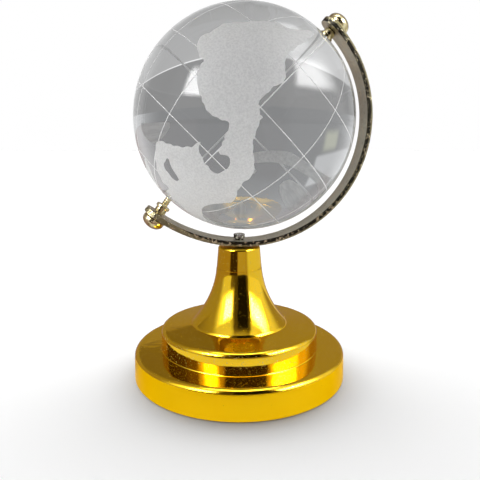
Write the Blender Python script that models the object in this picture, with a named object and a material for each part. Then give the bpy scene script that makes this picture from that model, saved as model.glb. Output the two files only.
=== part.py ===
"""Desk globe: a solid glass ball that spins in an open metal arc on a turned, gold-plated stand.

Units are metres, +Z is up and the origin is the centre of the stand's flat underside. The arc lies
in the XZ plane. The ball turns on two pivot pins, on an axis that leans towards +X at the top.
"""

import math

import bmesh
import bpy
from mathutils import Matrix, Vector

MM = 0.001
GAP = 0.3 * MM  # left between pieces that touch

# Ball
BALL_RADIUS = 25.0 * MM
BALL_CENTRE = Vector((1.2, 0.0, 60.8)) * MM
AXIS_LEAN = math.radians(45.0)  # of the spin axis, from upright towards +X
HOLE_RADIUS = 1.35 * MM
HOLE_DEPTH = 3.2 * MM

# Arc: a flat strip bent round the ball, then opened out towards its lower end
STRIP_RADIUS = 28.35 * MM  # to the middle of its thickness
STRIP_THICKNESS = 1.2 * MM
STRIP_WIDTH = 6.2 * MM
STRIP_HOLE_RADIUS = 1.05 * MM
OPENING_ANGLE = math.radians(-87.3)  # where the bend turns slacker, from +X towards +Z
OPENED_RADIUS = 34.35 * MM
UPPER_HOLE_ANGLE = math.pi / 2 - AXIS_LEAN
LOWER_HOLE_ANGLE = math.radians(-126.0)  # about the slacker bend's centre

# Pivot pins and cap nuts, along their own axis from the middle of the strip's thickness
PIN_RADIUS = 0.8 * MM
THREAD_DEPTH = 0.16 * MM
THREAD_PITCH = 0.62 * MM
FLANGE_RADIUS = 1.65 * MM
FLANGE_HEIGHT = 0.7 * MM
COLLAR_RADIUS = 1.35 * MM
COLLAR_HEIGHT = 1.2 * MM
SHANK_RADIUS = 0.7 * MM
SHANK_REACH = 1.9 * MM
CAP_RADIUS = 2.65 * MM
CAP_RIM_HEIGHT = 0.6 * MM
CAP_DOME_HEIGHT = 1.8 * MM
CAP_EDGE = 0.2 * MM
CAP_HOLE_DEPTH = 1.3 * MM
UPPER_TIP = 6.0 * MM
LOWER_TIP = 7.9 * MM

# Stand
BASE_RADIUS = 25.55 * MM
BASE_LEAN = 0.15 * MM
BASE_FOOT_EDGE = 0.45 * MM
BASE_TOP = 6.95 * MM
BASE_EDGE = 1.65 * MM
BASE_RISE = 0.15 * MM
TIER_RADIUS = 19.05 * MM
TIER_LEAN = 0.1 * MM
TIER_TOP = 12.05 * MM
TIER_EDGE = 1.7 * MM
TIER_RISE = 0.55 * MM
FOOT_RADIUS = 11.6 * MM
FOOT_STEP = 0.3 * MM
FLARE_RADIUS = 22.16 * MM
FLARE_FOOT_ANGLE = math.radians(44.1)  # of the flare's surface from upright
FLARE_TOP_ANGLE = math.radians(5.5)
COLLAR_STEP = 0.06 * MM
NECK_RADIUS = 5.0 * MM
NECK_TOP = 31.55 * MM
NECK_EDGE = 0.9 * MM
STAND_HOLE_RADIUS = 1.1 * MM
STAND_HOLE_DEPTH = 4.5 * MM

# Screw that holds the arc on the stand
SCREW_HEAD_RADIUS = 1.35 * MM
SCREW_HEAD_HEIGHT = 1.05 * MM
SCREW_SLOT_WIDTH = 0.4 * MM
SCREW_SLOT_DEPTH = 0.35 * MM
SCREW_SHANK_RADIUS = 0.75 * MM
SCREW_LENGTH = 5.2 * MM

BALL_SEGMENTS = 52
BALL_ARC_STEPS = 24
STAND_SEGMENTS = 56
SMALL_SEGMENTS = 20
CUTTER_SEGMENTS = 20


def clear_scene():
    """Removes every object that the scene starts with."""
    for old in list(bpy.data.objects):
        bpy.data.objects.remove(old, do_unlink=True)


def material(name, colour, metallic, roughness, transmission=0.0):
    """A Principled material of one plain colour."""
    made = bpy.data.materials.new(name)
    made.use_nodes = True
    shader = made.node_tree.nodes["Principled BSDF"]
    shader.inputs["Base Color"].default_value = (*colour, 1.0)
    shader.inputs["Metallic"].default_value = metallic
    shader.inputs["Roughness"].default_value = roughness
    shader.inputs["Transmission Weight"].default_value = transmission
    return made


def gold_plate():
    """Bright yellow plating of the stand."""
    return material("gold_plate", (0.83, 0.56, 0.07), 1.0, 0.14)


def grey_strip():
    """Dull tan-grey plating of the arc."""
    return material("arc_plating", (0.36, 0.33, 0.26), 1.0, 0.32)


def pale_gold():
    """Pale gold plating of the pins and cap nuts."""
    return material("pale_gold", (0.78, 0.68, 0.38), 1.0, 0.2)


def screw_steel():
    """Dark steel of the screw."""
    return material("screw_steel", (0.42, 0.42, 0.4), 1.0, 0.28)


def clear_glass():
    """Clear crystal glass of the ball."""
    return material("clear_glass", (0.9, 0.91, 0.92), 0.0, 0.02, transmission=1.0)


def arc_points(centre, radius, start, end, steps):
    """Points on a circle arc of a profile, from one angle to another, both ends included."""
    angles = [start + (end - start) * k / steps for k in range(steps + 1)]
    return [(centre[0] + radius * math.cos(a), centre[1] + radius * math.sin(a)) for a in angles]


def place(bm, name, surface, matrix, sharp=30.0):
    """Turns a finished bmesh into a named object at a place, shaded smooth with sharp edges."""
    bmesh.ops.recalc_face_normals(bm, faces=bm.faces)
    mesh = bpy.data.meshes.new(name)
    bm.to_mesh(mesh)
    bm.free()
    mesh.shade_smooth()
    mesh.set_sharp_from_angle(angle=math.radians(sharp))
    mesh.materials.append(surface)
    made = bpy.data.objects.new(name, mesh)
    bpy.context.collection.objects.link(made)
    made.matrix_world = matrix
    return made


def turned(name, profile, segments, surface, matrix):
    """A solid of revolution about Z, from a (radius, height) profile that starts and ends on the axis."""
    bm = bmesh.new()
    line = [bm.verts.new((radius, 0.0, height)) for radius, height in profile]
    edges = [bm.edges.new(pair) for pair in zip(line, line[1:])]
    bmesh.ops.spin(
        bm,
        geom=line + edges,
        cent=(0.0, 0.0, 0.0),
        axis=(0.0, 0.0, 1.0),
        angle=2.0 * math.pi,
        steps=segments,
    )
    bmesh.ops.remove_doubles(bm, verts=bm.verts, dist=0.002 * MM)
    return place(bm, name, surface, matrix)


def subtract(piece, cutter):
    """Cuts one solid out of another, and hides the cutter."""
    cutter.hide_render = True
    cutter.display_type = "WIRE"
    cut = piece.modifiers.new("cut_" + cutter.name, "BOOLEAN")
    cut.operation = "DIFFERENCE"
    cut.solver = "EXACT"
    cut.object = cutter


def hole_cutter(name, radius, length, matrix):
    """A round cutter centred on a place, along its Z."""
    bm = bmesh.new()
    bmesh.ops.create_cone(
        bm,
        cap_ends=True,
        segments=CUTTER_SEGMENTS,
        radius1=radius,
        radius2=radius,
        depth=length,
    )
    return place(bm, name, None, matrix)


def opened_centre():
    """Centre of the slacker bend, so that it runs on smoothly from the tighter one."""
    back = STRIP_RADIUS - OPENED_RADIUS
    return BALL_CENTRE + back * Vector((math.cos(OPENING_ANGLE), 0.0, math.sin(OPENING_ANGLE)))


def outward(angle):
    """Unit vector in the arc's plane at an angle from +X towards +Z."""
    return Vector((math.cos(angle), 0.0, math.sin(angle)))


def frame_along(origin, direction):
    """Matrix that puts a local origin at a point of the arc's plane, with its Z along a direction."""
    side = Vector((0.0, 1.0, 0.0))
    across = side.cross(direction)
    turn = Matrix((across, side, direction)).transposed().to_4x4()
    return Matrix.Translation(origin) @ turn


def upper_mount():
    """Place of the strip's upper hole, facing out along the spin axis."""
    direction = outward(UPPER_HOLE_ANGLE)
    return frame_along(BALL_CENTRE + STRIP_RADIUS * direction, direction)


def lower_mount():
    """Place of the strip's lower hole, facing out square to the opened strip."""
    direction = outward(LOWER_HOLE_ANGLE)
    return frame_along(opened_centre() + OPENED_RADIUS * direction, direction)


def strip_height_at_neck():
    """Height of the strip's outer face over the middle of the stand."""
    centre = opened_centre()
    radius = OPENED_RADIUS + STRIP_THICKNESS / 2
    return centre.z - math.sqrt(radius**2 - centre.x**2)


def strip_stations():
    """Stations along the strip: centre of bend, bend radius, angle and half width, end to end."""
    half = STRIP_WIDTH / 2
    round_steps = 7
    stations = []
    for k in range(round_steps, 0, -1):
        turn = math.pi / 2 * k / round_steps
        angle = UPPER_HOLE_ANGLE + half * math.sin(turn) / STRIP_RADIUS
        stations.append((BALL_CENTRE, STRIP_RADIUS, angle, half * math.cos(turn)))
    tight_steps = 26
    for k in range(tight_steps):
        angle = UPPER_HOLE_ANGLE + (OPENING_ANGLE - UPPER_HOLE_ANGLE) * k / tight_steps
        stations.append((BALL_CENTRE, STRIP_RADIUS, angle, half))
    slack_steps = 9
    slack = opened_centre()
    for k in range(slack_steps + 1):
        angle = OPENING_ANGLE + (LOWER_HOLE_ANGLE - OPENING_ANGLE) * k / slack_steps
        stations.append((slack, OPENED_RADIUS, angle, half))
    for k in range(1, round_steps + 1):
        turn = math.pi / 2 * k / round_steps
        angle = LOWER_HOLE_ANGLE - half * math.sin(turn) / OPENED_RADIUS
        stations.append((slack, OPENED_RADIUS, angle, half * math.cos(turn)))
    return stations


def build_arc():
    """The bent strip with round ends and its three screw holes."""
    bm = bmesh.new()
    thick = STRIP_THICKNESS / 2
    loops = []
    for centre, radius, angle, half in strip_stations():
        inner = centre + (radius - thick) * outward(angle)
        outer = centre + (radius + thick) * outward(angle)
        wide = Vector((0.0, max(half, 0.0), 0.0))
        if half < 0.01 * MM:
            loops.append([bm.verts.new(inner), bm.verts.new(outer)])
        else:
            corners = (inner - wide, inner + wide, outer + wide, outer - wide)
            loops.append([bm.verts.new(corner) for corner in corners])
    for near, far in zip(loops, loops[1:]):
        if len(near) == 2:
            join_end(bm, near, far)
        elif len(far) == 2:
            join_end(bm, far, near)
        else:
            for k in range(4):
                bm.faces.new((near[k], near[(k + 1) % 4], far[(k + 1) % 4], far[k]))
    strip = place(bm, "meridian_arc", grey_strip(), Matrix.Identity(4))
    reach = 6.0 * STRIP_THICKNESS
    subtract(strip, hole_cutter("upper_hole", STRIP_HOLE_RADIUS, reach, upper_mount()))
    subtract(strip, hole_cutter("lower_hole", STRIP_HOLE_RADIUS, reach, lower_mount()))
    middle = Matrix.Translation((0.0, 0.0, strip_height_at_neck()))
    subtract(strip, hole_cutter("middle_hole", STRIP_HOLE_RADIUS, reach, middle))
    return strip


def join_end(bm, tip, loop):
    """Faces between the strip's tip edge and the next station's four corners."""
    inner, outer = tip
    bm.faces.new((inner, loop[0], loop[1]))
    bm.faces.new((outer, loop[2], loop[3]))
    bm.faces.new((inner, loop[1], loop[2], outer))
    bm.faces.new((inner, outer, loop[3], loop[0]))


def thread_profile(tip, end):
    """Profile of a threaded pin from its tip to where the thread stops, as rounded ridges."""
    points = [(0.0, tip), (PIN_RADIUS - THREAD_DEPTH, tip)]
    turns = int((end - tip - THREAD_PITCH / 2) / THREAD_PITCH)
    for k in range(turns):
        start = tip + THREAD_PITCH * (k + 0.5)
        points.append((PIN_RADIUS, start))
        points.append((PIN_RADIUS - THREAD_DEPTH, start + THREAD_PITCH / 2))
    points.append((PIN_RADIUS - THREAD_DEPTH, end))
    return points


def build_pin(name, tip_depth, matrix):
    """Pivot pin: threaded tip for the ball's hole, flange, collar, and a shank through the strip."""
    collar_end = -STRIP_THICKNESS / 2 - GAP
    flange_end = collar_end - COLLAR_HEIGHT
    flange_start = flange_end - FLANGE_HEIGHT
    profile = thread_profile(-tip_depth, flange_start)
    profile += [
        (FLANGE_RADIUS, flange_start),
        (FLANGE_RADIUS, flange_end),
        (COLLAR_RADIUS, flange_end),
        (COLLAR_RADIUS, collar_end),
        (SHANK_RADIUS, collar_end),
        (SHANK_RADIUS, SHANK_REACH),
        (0.0, SHANK_REACH),
    ]
    return turned(name, profile, SMALL_SEGMENTS, pale_gold(), matrix)


def build_cap_nut(name, matrix):
    """Domed cap nut outside the strip, with a blind hole that takes the pin's shank."""
    seat = STRIP_THICKNESS / 2 + GAP
    rim = seat + CAP_RIM_HEIGHT
    hole_end = seat + CAP_HOLE_DEPTH
    dome_steps = 7
    profile = [(0.0, hole_end), (STRIP_HOLE_RADIUS, hole_end), (STRIP_HOLE_RADIUS, seat)]
    profile += [(CAP_RADIUS - CAP_EDGE, seat), (CAP_RADIUS, seat + CAP_EDGE)]
    for k in range(dome_steps + 1):
        turn = math.pi / 2 * k / dome_steps
        radius = CAP_RADIUS * math.cos(turn)
        profile.append((max(radius, 0.0), rim + CAP_DOME_HEIGHT * math.sin(turn)))
    profile[-1] = (0.0, rim + CAP_DOME_HEIGHT)
    return turned(name, profile, SMALL_SEGMENTS + 4, pale_gold(), matrix)


def build_stand_screw():
    """Small slotted screw that clamps the arc on the stand."""
    centre = opened_centre()
    inner_radius = OPENED_RADIUS - STRIP_THICKNESS / 2
    edge = abs(centre.x) + SCREW_HEAD_RADIUS
    seat = centre.z - math.sqrt(inner_radius**2 - edge**2) + GAP
    top = seat + SCREW_HEAD_HEIGHT
    tip = top - SCREW_LENGTH
    edge_round = 0.25 * SCREW_HEAD_HEIGHT
    profile = [
        (0.0, tip),
        (SCREW_SHANK_RADIUS, tip),
        (SCREW_SHANK_RADIUS, seat),
        (SCREW_HEAD_RADIUS, seat),
    ]
    corner = (SCREW_HEAD_RADIUS - edge_round, top - edge_round)
    profile += arc_points(corner, edge_round, 0.0, math.pi / 2, 3)
    profile.append((0.0, top))
    screw = turned("stand_screw", profile, SMALL_SEGMENTS, screw_steel(), Matrix.Identity(4))
    bm = bmesh.new()
    size = (4 * SCREW_HEAD_RADIUS, SCREW_SLOT_WIDTH, 2 * SCREW_SLOT_DEPTH)
    bmesh.ops.create_cube(bm, size=1.0, matrix=Matrix.Diagonal((*size, 1.0)))
    turn = Matrix.Rotation(math.radians(35.0), 4, "Z")
    slot = place(bm, "screw_slot", None, Matrix.Translation((0.0, 0.0, top)) @ turn)
    subtract(screw, slot)
    return screw


def stand_profile():
    """Turned outline of the stand, from the middle of its underside to the bottom of its top hole."""
    base_edge_centre = (BASE_RADIUS - BASE_LEAN - BASE_EDGE, BASE_TOP - BASE_EDGE)
    tier_edge_centre = (TIER_RADIUS - TIER_LEAN - TIER_EDGE, TIER_TOP - TIER_EDGE)
    tier_foot = BASE_TOP + BASE_RISE
    foot_height = TIER_TOP + TIER_RISE
    flare_bottom = foot_height + FOOT_STEP
    foot_angle, top_angle = FLARE_FOOT_ANGLE, FLARE_TOP_ANGLE
    flare_centre = (
        FOOT_RADIUS + FLARE_RADIUS * math.cos(foot_angle),
        flare_bottom + FLARE_RADIUS * math.sin(foot_angle),
    )
    points = [(0.0, 0.0), (BASE_RADIUS - BASE_FOOT_EDGE, 0.0), (BASE_RADIUS, BASE_FOOT_EDGE)]
    points += arc_points(base_edge_centre, BASE_EDGE, 0.0, math.pi / 2, 4)
    points.append((TIER_RADIUS, tier_foot))
    points += arc_points(tier_edge_centre, TIER_EDGE, 0.0, math.pi / 2, 4)
    points.append((FOOT_RADIUS, foot_height))
    flare = arc_points(flare_centre, FLARE_RADIUS, math.pi + foot_angle, math.pi + top_angle, 9)
    points += flare
    points.append((flare[-1][0] - COLLAR_STEP, flare[-1][1] + COLLAR_STEP))
    points += arc_points((NECK_RADIUS - NECK_EDGE, NECK_TOP - NECK_EDGE), NECK_EDGE, 0.0, math.pi / 2, 3)
    points.append((STAND_HOLE_RADIUS, NECK_TOP))
    points.append((STAND_HOLE_RADIUS, NECK_TOP - STAND_HOLE_DEPTH))
    points.append((0.0, NECK_TOP - STAND_HOLE_DEPTH))
    return points


def build_stand():
    """The turned stand: base disc, tier, flared stem and neck in one piece."""
    return turned("stand", stand_profile(), STAND_SEGMENTS, gold_plate(), Matrix.Identity(4))


def build_ball():
    """The solid glass ball with a blind hole at each pole, turned about its own spin axis."""
    rim_angle = math.acos(HOLE_RADIUS / BALL_RADIUS)
    floor = BALL_RADIUS - HOLE_DEPTH
    profile = [(0.0, -floor), (HOLE_RADIUS, -floor)]
    profile += arc_points((0.0, 0.0), BALL_RADIUS, -rim_angle, rim_angle, BALL_ARC_STEPS)
    profile += [(HOLE_RADIUS, floor), (0.0, floor)]
    direction = outward(UPPER_HOLE_ANGLE)
    matrix = frame_along(BALL_CENTRE, direction)
    return turned("glass_ball", profile, BALL_SEGMENTS, clear_glass(), matrix)


def main():
    """Builds every piece."""
    clear_scene()
    build_stand()
    build_arc()
    build_stand_screw()
    build_pin("upper_pivot_pin", UPPER_TIP, upper_mount())
    build_cap_nut("upper_cap_nut", upper_mount())
    build_pin("lower_pivot_pin", LOWER_TIP, lower_mount())
    build_cap_nut("lower_cap_nut", lower_mount())
    build_ball()


main()
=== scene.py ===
"""Looks of a glass desk globe on a gold-plated stand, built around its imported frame.

Every size is in metres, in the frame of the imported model: +Z is up, the origin is the centre of the
stand's flat underside, and the arc lies in the XZ plane with its upper pivot towards +X. Angles of
the arc are in radians from +X towards +Z. Heights and azimuths of the studio are in degrees.
"""

import logging
import math
from dataclasses import dataclass
from enum import Enum, IntEnum
from typing import Callable, Iterable, Optional, Sequence, Union

import bpy
import numpy as np
from mathutils import Matrix, Vector


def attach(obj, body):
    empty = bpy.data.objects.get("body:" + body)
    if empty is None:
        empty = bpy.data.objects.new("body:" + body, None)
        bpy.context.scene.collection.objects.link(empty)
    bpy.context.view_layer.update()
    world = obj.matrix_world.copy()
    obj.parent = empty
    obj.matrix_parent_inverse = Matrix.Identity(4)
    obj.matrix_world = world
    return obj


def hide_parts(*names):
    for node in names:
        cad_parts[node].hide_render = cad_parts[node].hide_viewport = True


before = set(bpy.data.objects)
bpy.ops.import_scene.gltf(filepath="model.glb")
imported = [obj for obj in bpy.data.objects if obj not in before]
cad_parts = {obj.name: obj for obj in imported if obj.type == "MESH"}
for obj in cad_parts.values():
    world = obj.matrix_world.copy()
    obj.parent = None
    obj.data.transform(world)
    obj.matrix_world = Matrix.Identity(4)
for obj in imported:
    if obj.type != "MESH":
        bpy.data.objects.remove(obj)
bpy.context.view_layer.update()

MM = 0.001
QUARTER = math.pi / 2
WHITE = (1.0, 1.0, 1.0)
Y_AXIS = Vector((0.0, 1.0, 0.0))
LOG = logging.getLogger("globe")
Number = Union[float, "Socket"]
Colour = tuple[float, float, float]
Tint = Union[Colour, "Socket"]
Point = tuple[float, float]
Spot = tuple[float, float, float]
Piece = bpy.types.Object
Material = bpy.types.Material


class Body(Enum):
    """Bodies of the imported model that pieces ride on."""

    PEDESTAL = "pedestal"
    BALL = "ball"


class Slot(Enum):
    """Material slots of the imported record."""

    GOLD = "gold_plate"
    ARC = "arc_plating"
    PALE_GOLD = "pale_gold"
    STEEL = "screw_steel"
    GLASS = "clear_glass"


class Zone(IntEnum):
    """Zones of the ball's surface, in the order of its materials."""

    CLEAR = 0
    LAND = 1
    LINE = 2


class Shore(IntEnum):
    """Where a vertex of the ball lies on the map."""

    WATER = 0
    LAND = 1
    COAST = 2


# Outlines on the ball, as (degrees east, degrees north) of the engraved grid
LANDS: dict[str, tuple[Point, ...]] = {
    "americas": (
        (-81, 25), (-82, 25), (-82, 27), (-84, 29), (-86, 29.5), (-88, 30), (-90, 31.5),
        (-92, 30.5), (-94, 31.5), (-97, 31), (-98.5, 30), (-99, 27), (-99.5, 25), (-98.5, 22.5),
        (-97, 21), (-95, 20.5), (-93.5, 21.5), (-92, 23), (-90.5, 22), (-90, 19.5), (-88.5, 18),
        (-89, 16.5), (-87, 15.5), (-87.5, 13.5), (-86.5, 11.5), (-85, 10), (-83.5, 10.5), (-82, 12),
        (-80, 12), (-78, 13.3), (-76, 13), (-74, 13.4), (-72, 12), (-70, 12), (-69, 10.5),
        (-67, 10.5), (-65, 9), (-62.5, 7.5), (-61, 5.5), (-59.5, 4.5), (-59, 2.5), (-58, 1),
        (-58.5, -1), (-57, -1.5), (-55, -0.5), (-53, -2), (-51, -2.5), (-49, -4), (-47.5, -6),
        (-46.3, -8), (-47, -10.5), (-48.5, -12), (-48, -14.5), (-48.5, -17), (-48, -19),
        (-50, -21.5), (-51.5, -24), (-53, -25), (-55, -27.5), (-55.5, -30), (-57.5, -31.5),
        (-58.5, -34.5), (-60.5, -36), (-62, -39), (-65, -39.5), (-68, -40.5), (-70.5, -41),
        (-72, -45), (-74, -46), (-75, -49), (-76, -53), (-79, -55), (-82, -52.5), (-82.5, -49),
        (-81.5, -46), (-83, -43), (-82, -40), (-81.5, -36), (-82.5, -33), (-81, -31), (-82.5, -28),
        (-83.5, -25.5), (-85.5, -24), (-87, -22), (-89, -21), (-89.5, -18), (-89, -15.5),
        (-87.5, -13), (-88.5, -10.5), (-87, -8), (-87.5, -6), (-88.5, -4), (-89, -3), (-91, -2.5),
        (-92, -1), (-94, -2), (-93.5, 0.5), (-95, 2), (-95.5, 4.5), (-97, 6), (-97.5, 8.5),
        (-100, 10), (-101.5, 12), (-104, 13), (-106, 15), (-108.5, 16.5), (-109.5, 19),
        (-110.5, 21.5), (-109.5, 24), (-111.5, 27), (-112, 29.5), (-114.5, 31), (-116, 33.5),
        (-117.5, 36), (-116, 39), (-114.5, 42), (-113, 46), (-113, 50), (-115, 54), (-121, 57),
        (-129, 60), (-139, 60), (-147, 58.5), (-155, 56), (-157, 59), (-152, 61), (-160, 64),
        (-154, 66), (-157, 70), (-145, 70), (-133, 70), (-122, 71), (-112, 69), (-101, 70),
        (-94, 72), (-91, 68), (-83, 70), (-80, 67), (-84, 63), (-79, 62), (-73, 63), (-69, 60),
        (-64, 58), (-63, 54), (-60, 51), (-61, 48), (-59, 45), (-58.5, 42.5), (-61, 40),
        (-64, 38.5), (-66, 38.5), (-69, 36.5), (-71, 36.5), (-73, 34.5), (-76, 33.5), (-77.5, 31),
        (-80, 30), (-80, 27.5),
    ),
    "greenland": (
        (-44, 58), (-49, 61), (-53, 66), (-54, 70), (-62, 75), (-70, 77), (-64, 80), (-45, 82),
        (-28, 82), (-18, 78), (-21, 72), (-30, 68), (-38, 64), (-41, 60),
    ),
    "africa": (
        (-6, 36), (2, 37), (10, 37), (11, 34), (15, 32), (20, 31), (22, 33), (29, 31), (34, 31),
        (34, 28), (36, 24), (38, 18), (43, 12), (51, 12), (50, 8), (46, 3), (42, -1), (39, -6),
        (41, -12), (40, -16), (35, -20), (35, -24), (32, -28), (28, -33), (22, -34), (19, -34),
        (17, -29), (14, -23), (12, -17), (14, -11), (12, -5), (9, 0), (9, 4), (5, 6), (0, 5),
        (-4, 5), (-8, 4), (-13, 8), (-17, 13), (-16, 18), (-17, 22), (-13, 27), (-10, 31),
    ),
    "madagascar": ((49, -12), (50, -16), (48, -23), (45, -25), (43, -22), (45, -16)),
    "eurasia": (
        (-9, 37), (-9, 43), (-2, 43), (-1, 46), (-5, 48), (2, 51), (5, 53), (9, 54), (8, 57),
        (11, 57), (10, 54), (14, 54), (20, 55), (24, 59), (29, 60), (22, 61), (25, 65), (20, 64),
        (17, 60), (15, 56), (12, 56), (10, 59), (5, 60), (8, 63), (15, 69), (26, 71), (34, 69),
        (41, 67), (34, 66), (38, 64), (44, 67), (54, 69), (66, 69), (69, 73), (82, 73), (94, 76),
        (105, 78), (113, 74), (128, 72), (140, 73), (155, 71), (170, 70), (181, 68), (189, 66),
        (180, 62), (171, 60), (163, 58), (162, 55), (157, 51), (156, 57), (163, 61), (153, 59),
        (142, 59), (136, 54), (141, 52), (139, 46), (131, 43), (127, 40), (129, 36), (127, 34),
        (126, 38), (121, 40), (118, 39), (122, 37), (119, 35), (122, 31), (119, 25), (114, 22),
        (109, 21), (106, 19), (109, 14), (107, 10), (105, 9), (104, 12), (100, 13), (101, 7),
        (104, 2), (101, 3), (98, 8), (97, 16), (94, 17), (91, 22), (87, 21), (82, 17), (80, 13),
        (78, 8), (75, 13), (73, 20), (69, 22), (66, 25), (57, 26), (51, 29), (49, 30), (51, 25),
        (56, 25), (60, 22), (55, 17), (45, 13), (43, 14), (39, 21), (35, 28), (35, 32), (36, 36),
        (30, 36), (27, 38), (29, 41), (36, 42), (42, 42), (38, 45), (34, 45), (31, 46), (28, 43),
        (27, 41), (23, 40), (24, 37), (21, 37), (19, 41), (14, 45), (13, 44), (18, 40), (16, 38),
        (15, 40), (10, 43), (4, 43), (0, 39), (-2, 37), (-6, 36),
    ),
    "britain": ((-5, 50), (1, 51), (0, 54), (-3, 58), (-6, 58), (-4, 54)),
    "iceland": ((-23, 64), (-18, 63), (-14, 65), (-17, 67), (-23, 66)),
    "japan": (
        (130, 31), (132, 33), (136, 33), (141, 36), (142, 40), (146, 43), (142, 46), (140, 41),
        (138, 37), (133, 36), (129, 33),
    ),
    "philippines": (
        (120, 18), (123, 18), (124, 13), (127, 8), (125, 5), (122, 8), (122, 12), (119, 15),
    ),
    "borneo": ((109, 1), (113, 3), (117, 7), (119, 4), (116, -4), (110, -3)),
    "sumatra": ((95, 6), (100, 3), (106, -4), (114, -7), (114, -9), (106, -8), (101, -3)),
    "celebes": ((119, 1), (124, 1), (121, -1), (123, -5), (119, -5)),
    "new_guinea": ((131, -1), (137, -2), (145, -4), (151, -10), (146, -9), (138, -8), (133, -4)),
    "australia": (
        (114, -22), (113, -26), (116, -32), (115, -35), (119, -35), (124, -33), (131, -31),
        (136, -34), (140, -38), (147, -39), (150, -37), (153, -30), (152, -25), (147, -19),
        (145, -15), (142, -11), (141, -17), (136, -15), (136, -12), (131, -12), (128, -15),
        (122, -18), (118, -20),
    ),
    "tasmania": ((145, -41), (148, -41), (147, -44)),
    "new_zealand": (
        (173, -35), (178, -38), (175, -42), (171, -46), (167, -46), (171, -42), (174, -40),
    ),
    "antarctica": (
        (-10, -70), (10, -70), (30, -69), (50, -67), (70, -69), (90, -66), (110, -66), (130, -66),
        (150, -69), (168, -72), (165, -78), (140, -80), (100, -81), (60, -80), (20, -79),
    ),
}

# Waters that lie inside a land
WATERS: dict[str, tuple[Point, ...]] = {
    "northern_bay": (
        (-70, 45), (-72, 44), (-74.5, 46), (-78, 47.5), (-83, 48.5), (-86.5, 50), (-84, 52),
        (-80, 52.5), (-76, 51.5), (-72, 51.5), (-69.5, 49), (-70.5, 47),
    ),
    "inland_sea": ((51, 47), (53, 42), (52, 37), (49, 38), (48, 43)),
}


class Socket:
    """One output of a node tree, on which plain arithmetic adds Math nodes."""

    def __init__(self, nodes: "NodeBench", output: bpy.types.NodeSocket) -> None:
        """Wraps one output of a bench's tree."""
        self.nodes = nodes
        self.output = output

    def __add__(self, other: Number) -> "Socket":
        """Sum."""
        return self.nodes.compute("ADD", self, other)

    def __sub__(self, other: Number) -> "Socket":
        """Difference."""
        return self.nodes.compute("SUBTRACT", self, other)

    def __rsub__(self, other: Number) -> "Socket":
        """Difference from a number on the left."""
        return self.nodes.compute("SUBTRACT", other, self)

    def __mul__(self, other: Number) -> "Socket":
        """Product."""
        return self.nodes.compute("MULTIPLY", self, other)

    __radd__ = __add__
    __rmul__ = __mul__

    def __pow__(self, other: Number) -> "Socket":
        """Power."""
        return self.nodes.compute("POWER", self, other)

    def __abs__(self) -> "Socket":
        """Size without its sign."""
        return self.nodes.compute("ABSOLUTE", self)

    def at_least(self, other: Number) -> "Socket":
        """The larger of two values."""
        return self.nodes.compute("MAXIMUM", self, other)

    def at_most(self, other: Number) -> "Socket":
        """The smaller of two values."""
        return self.nodes.compute("MINIMUM", self, other)

    def step(self, low: float, high: float) -> "Socket":
        """Smooth step from 0 at low to 1 at high, or down from 1 where low is the larger.

        Args:
            low: Value that gives 0.
            high: Value that gives 1.

        Returns:
            The stepped value.
        """
        sockets = {0: self, 1: min(low, high), 2: max(low, high)}
        settings = {"interpolation_type": "SMOOTHSTEP"}
        rise = self.nodes.add("ShaderNodeMapRange", settings, sockets)
        return rise if low <= high else 1.0 - rise

    def band(self, low: float, high: float, soft: float) -> "Socket":
        """Mask that is 1 between two values, with edges that fade over twice the softness."""
        return self.step(low - soft, low + soft) * self.step(high + soft, high - soft)


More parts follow.
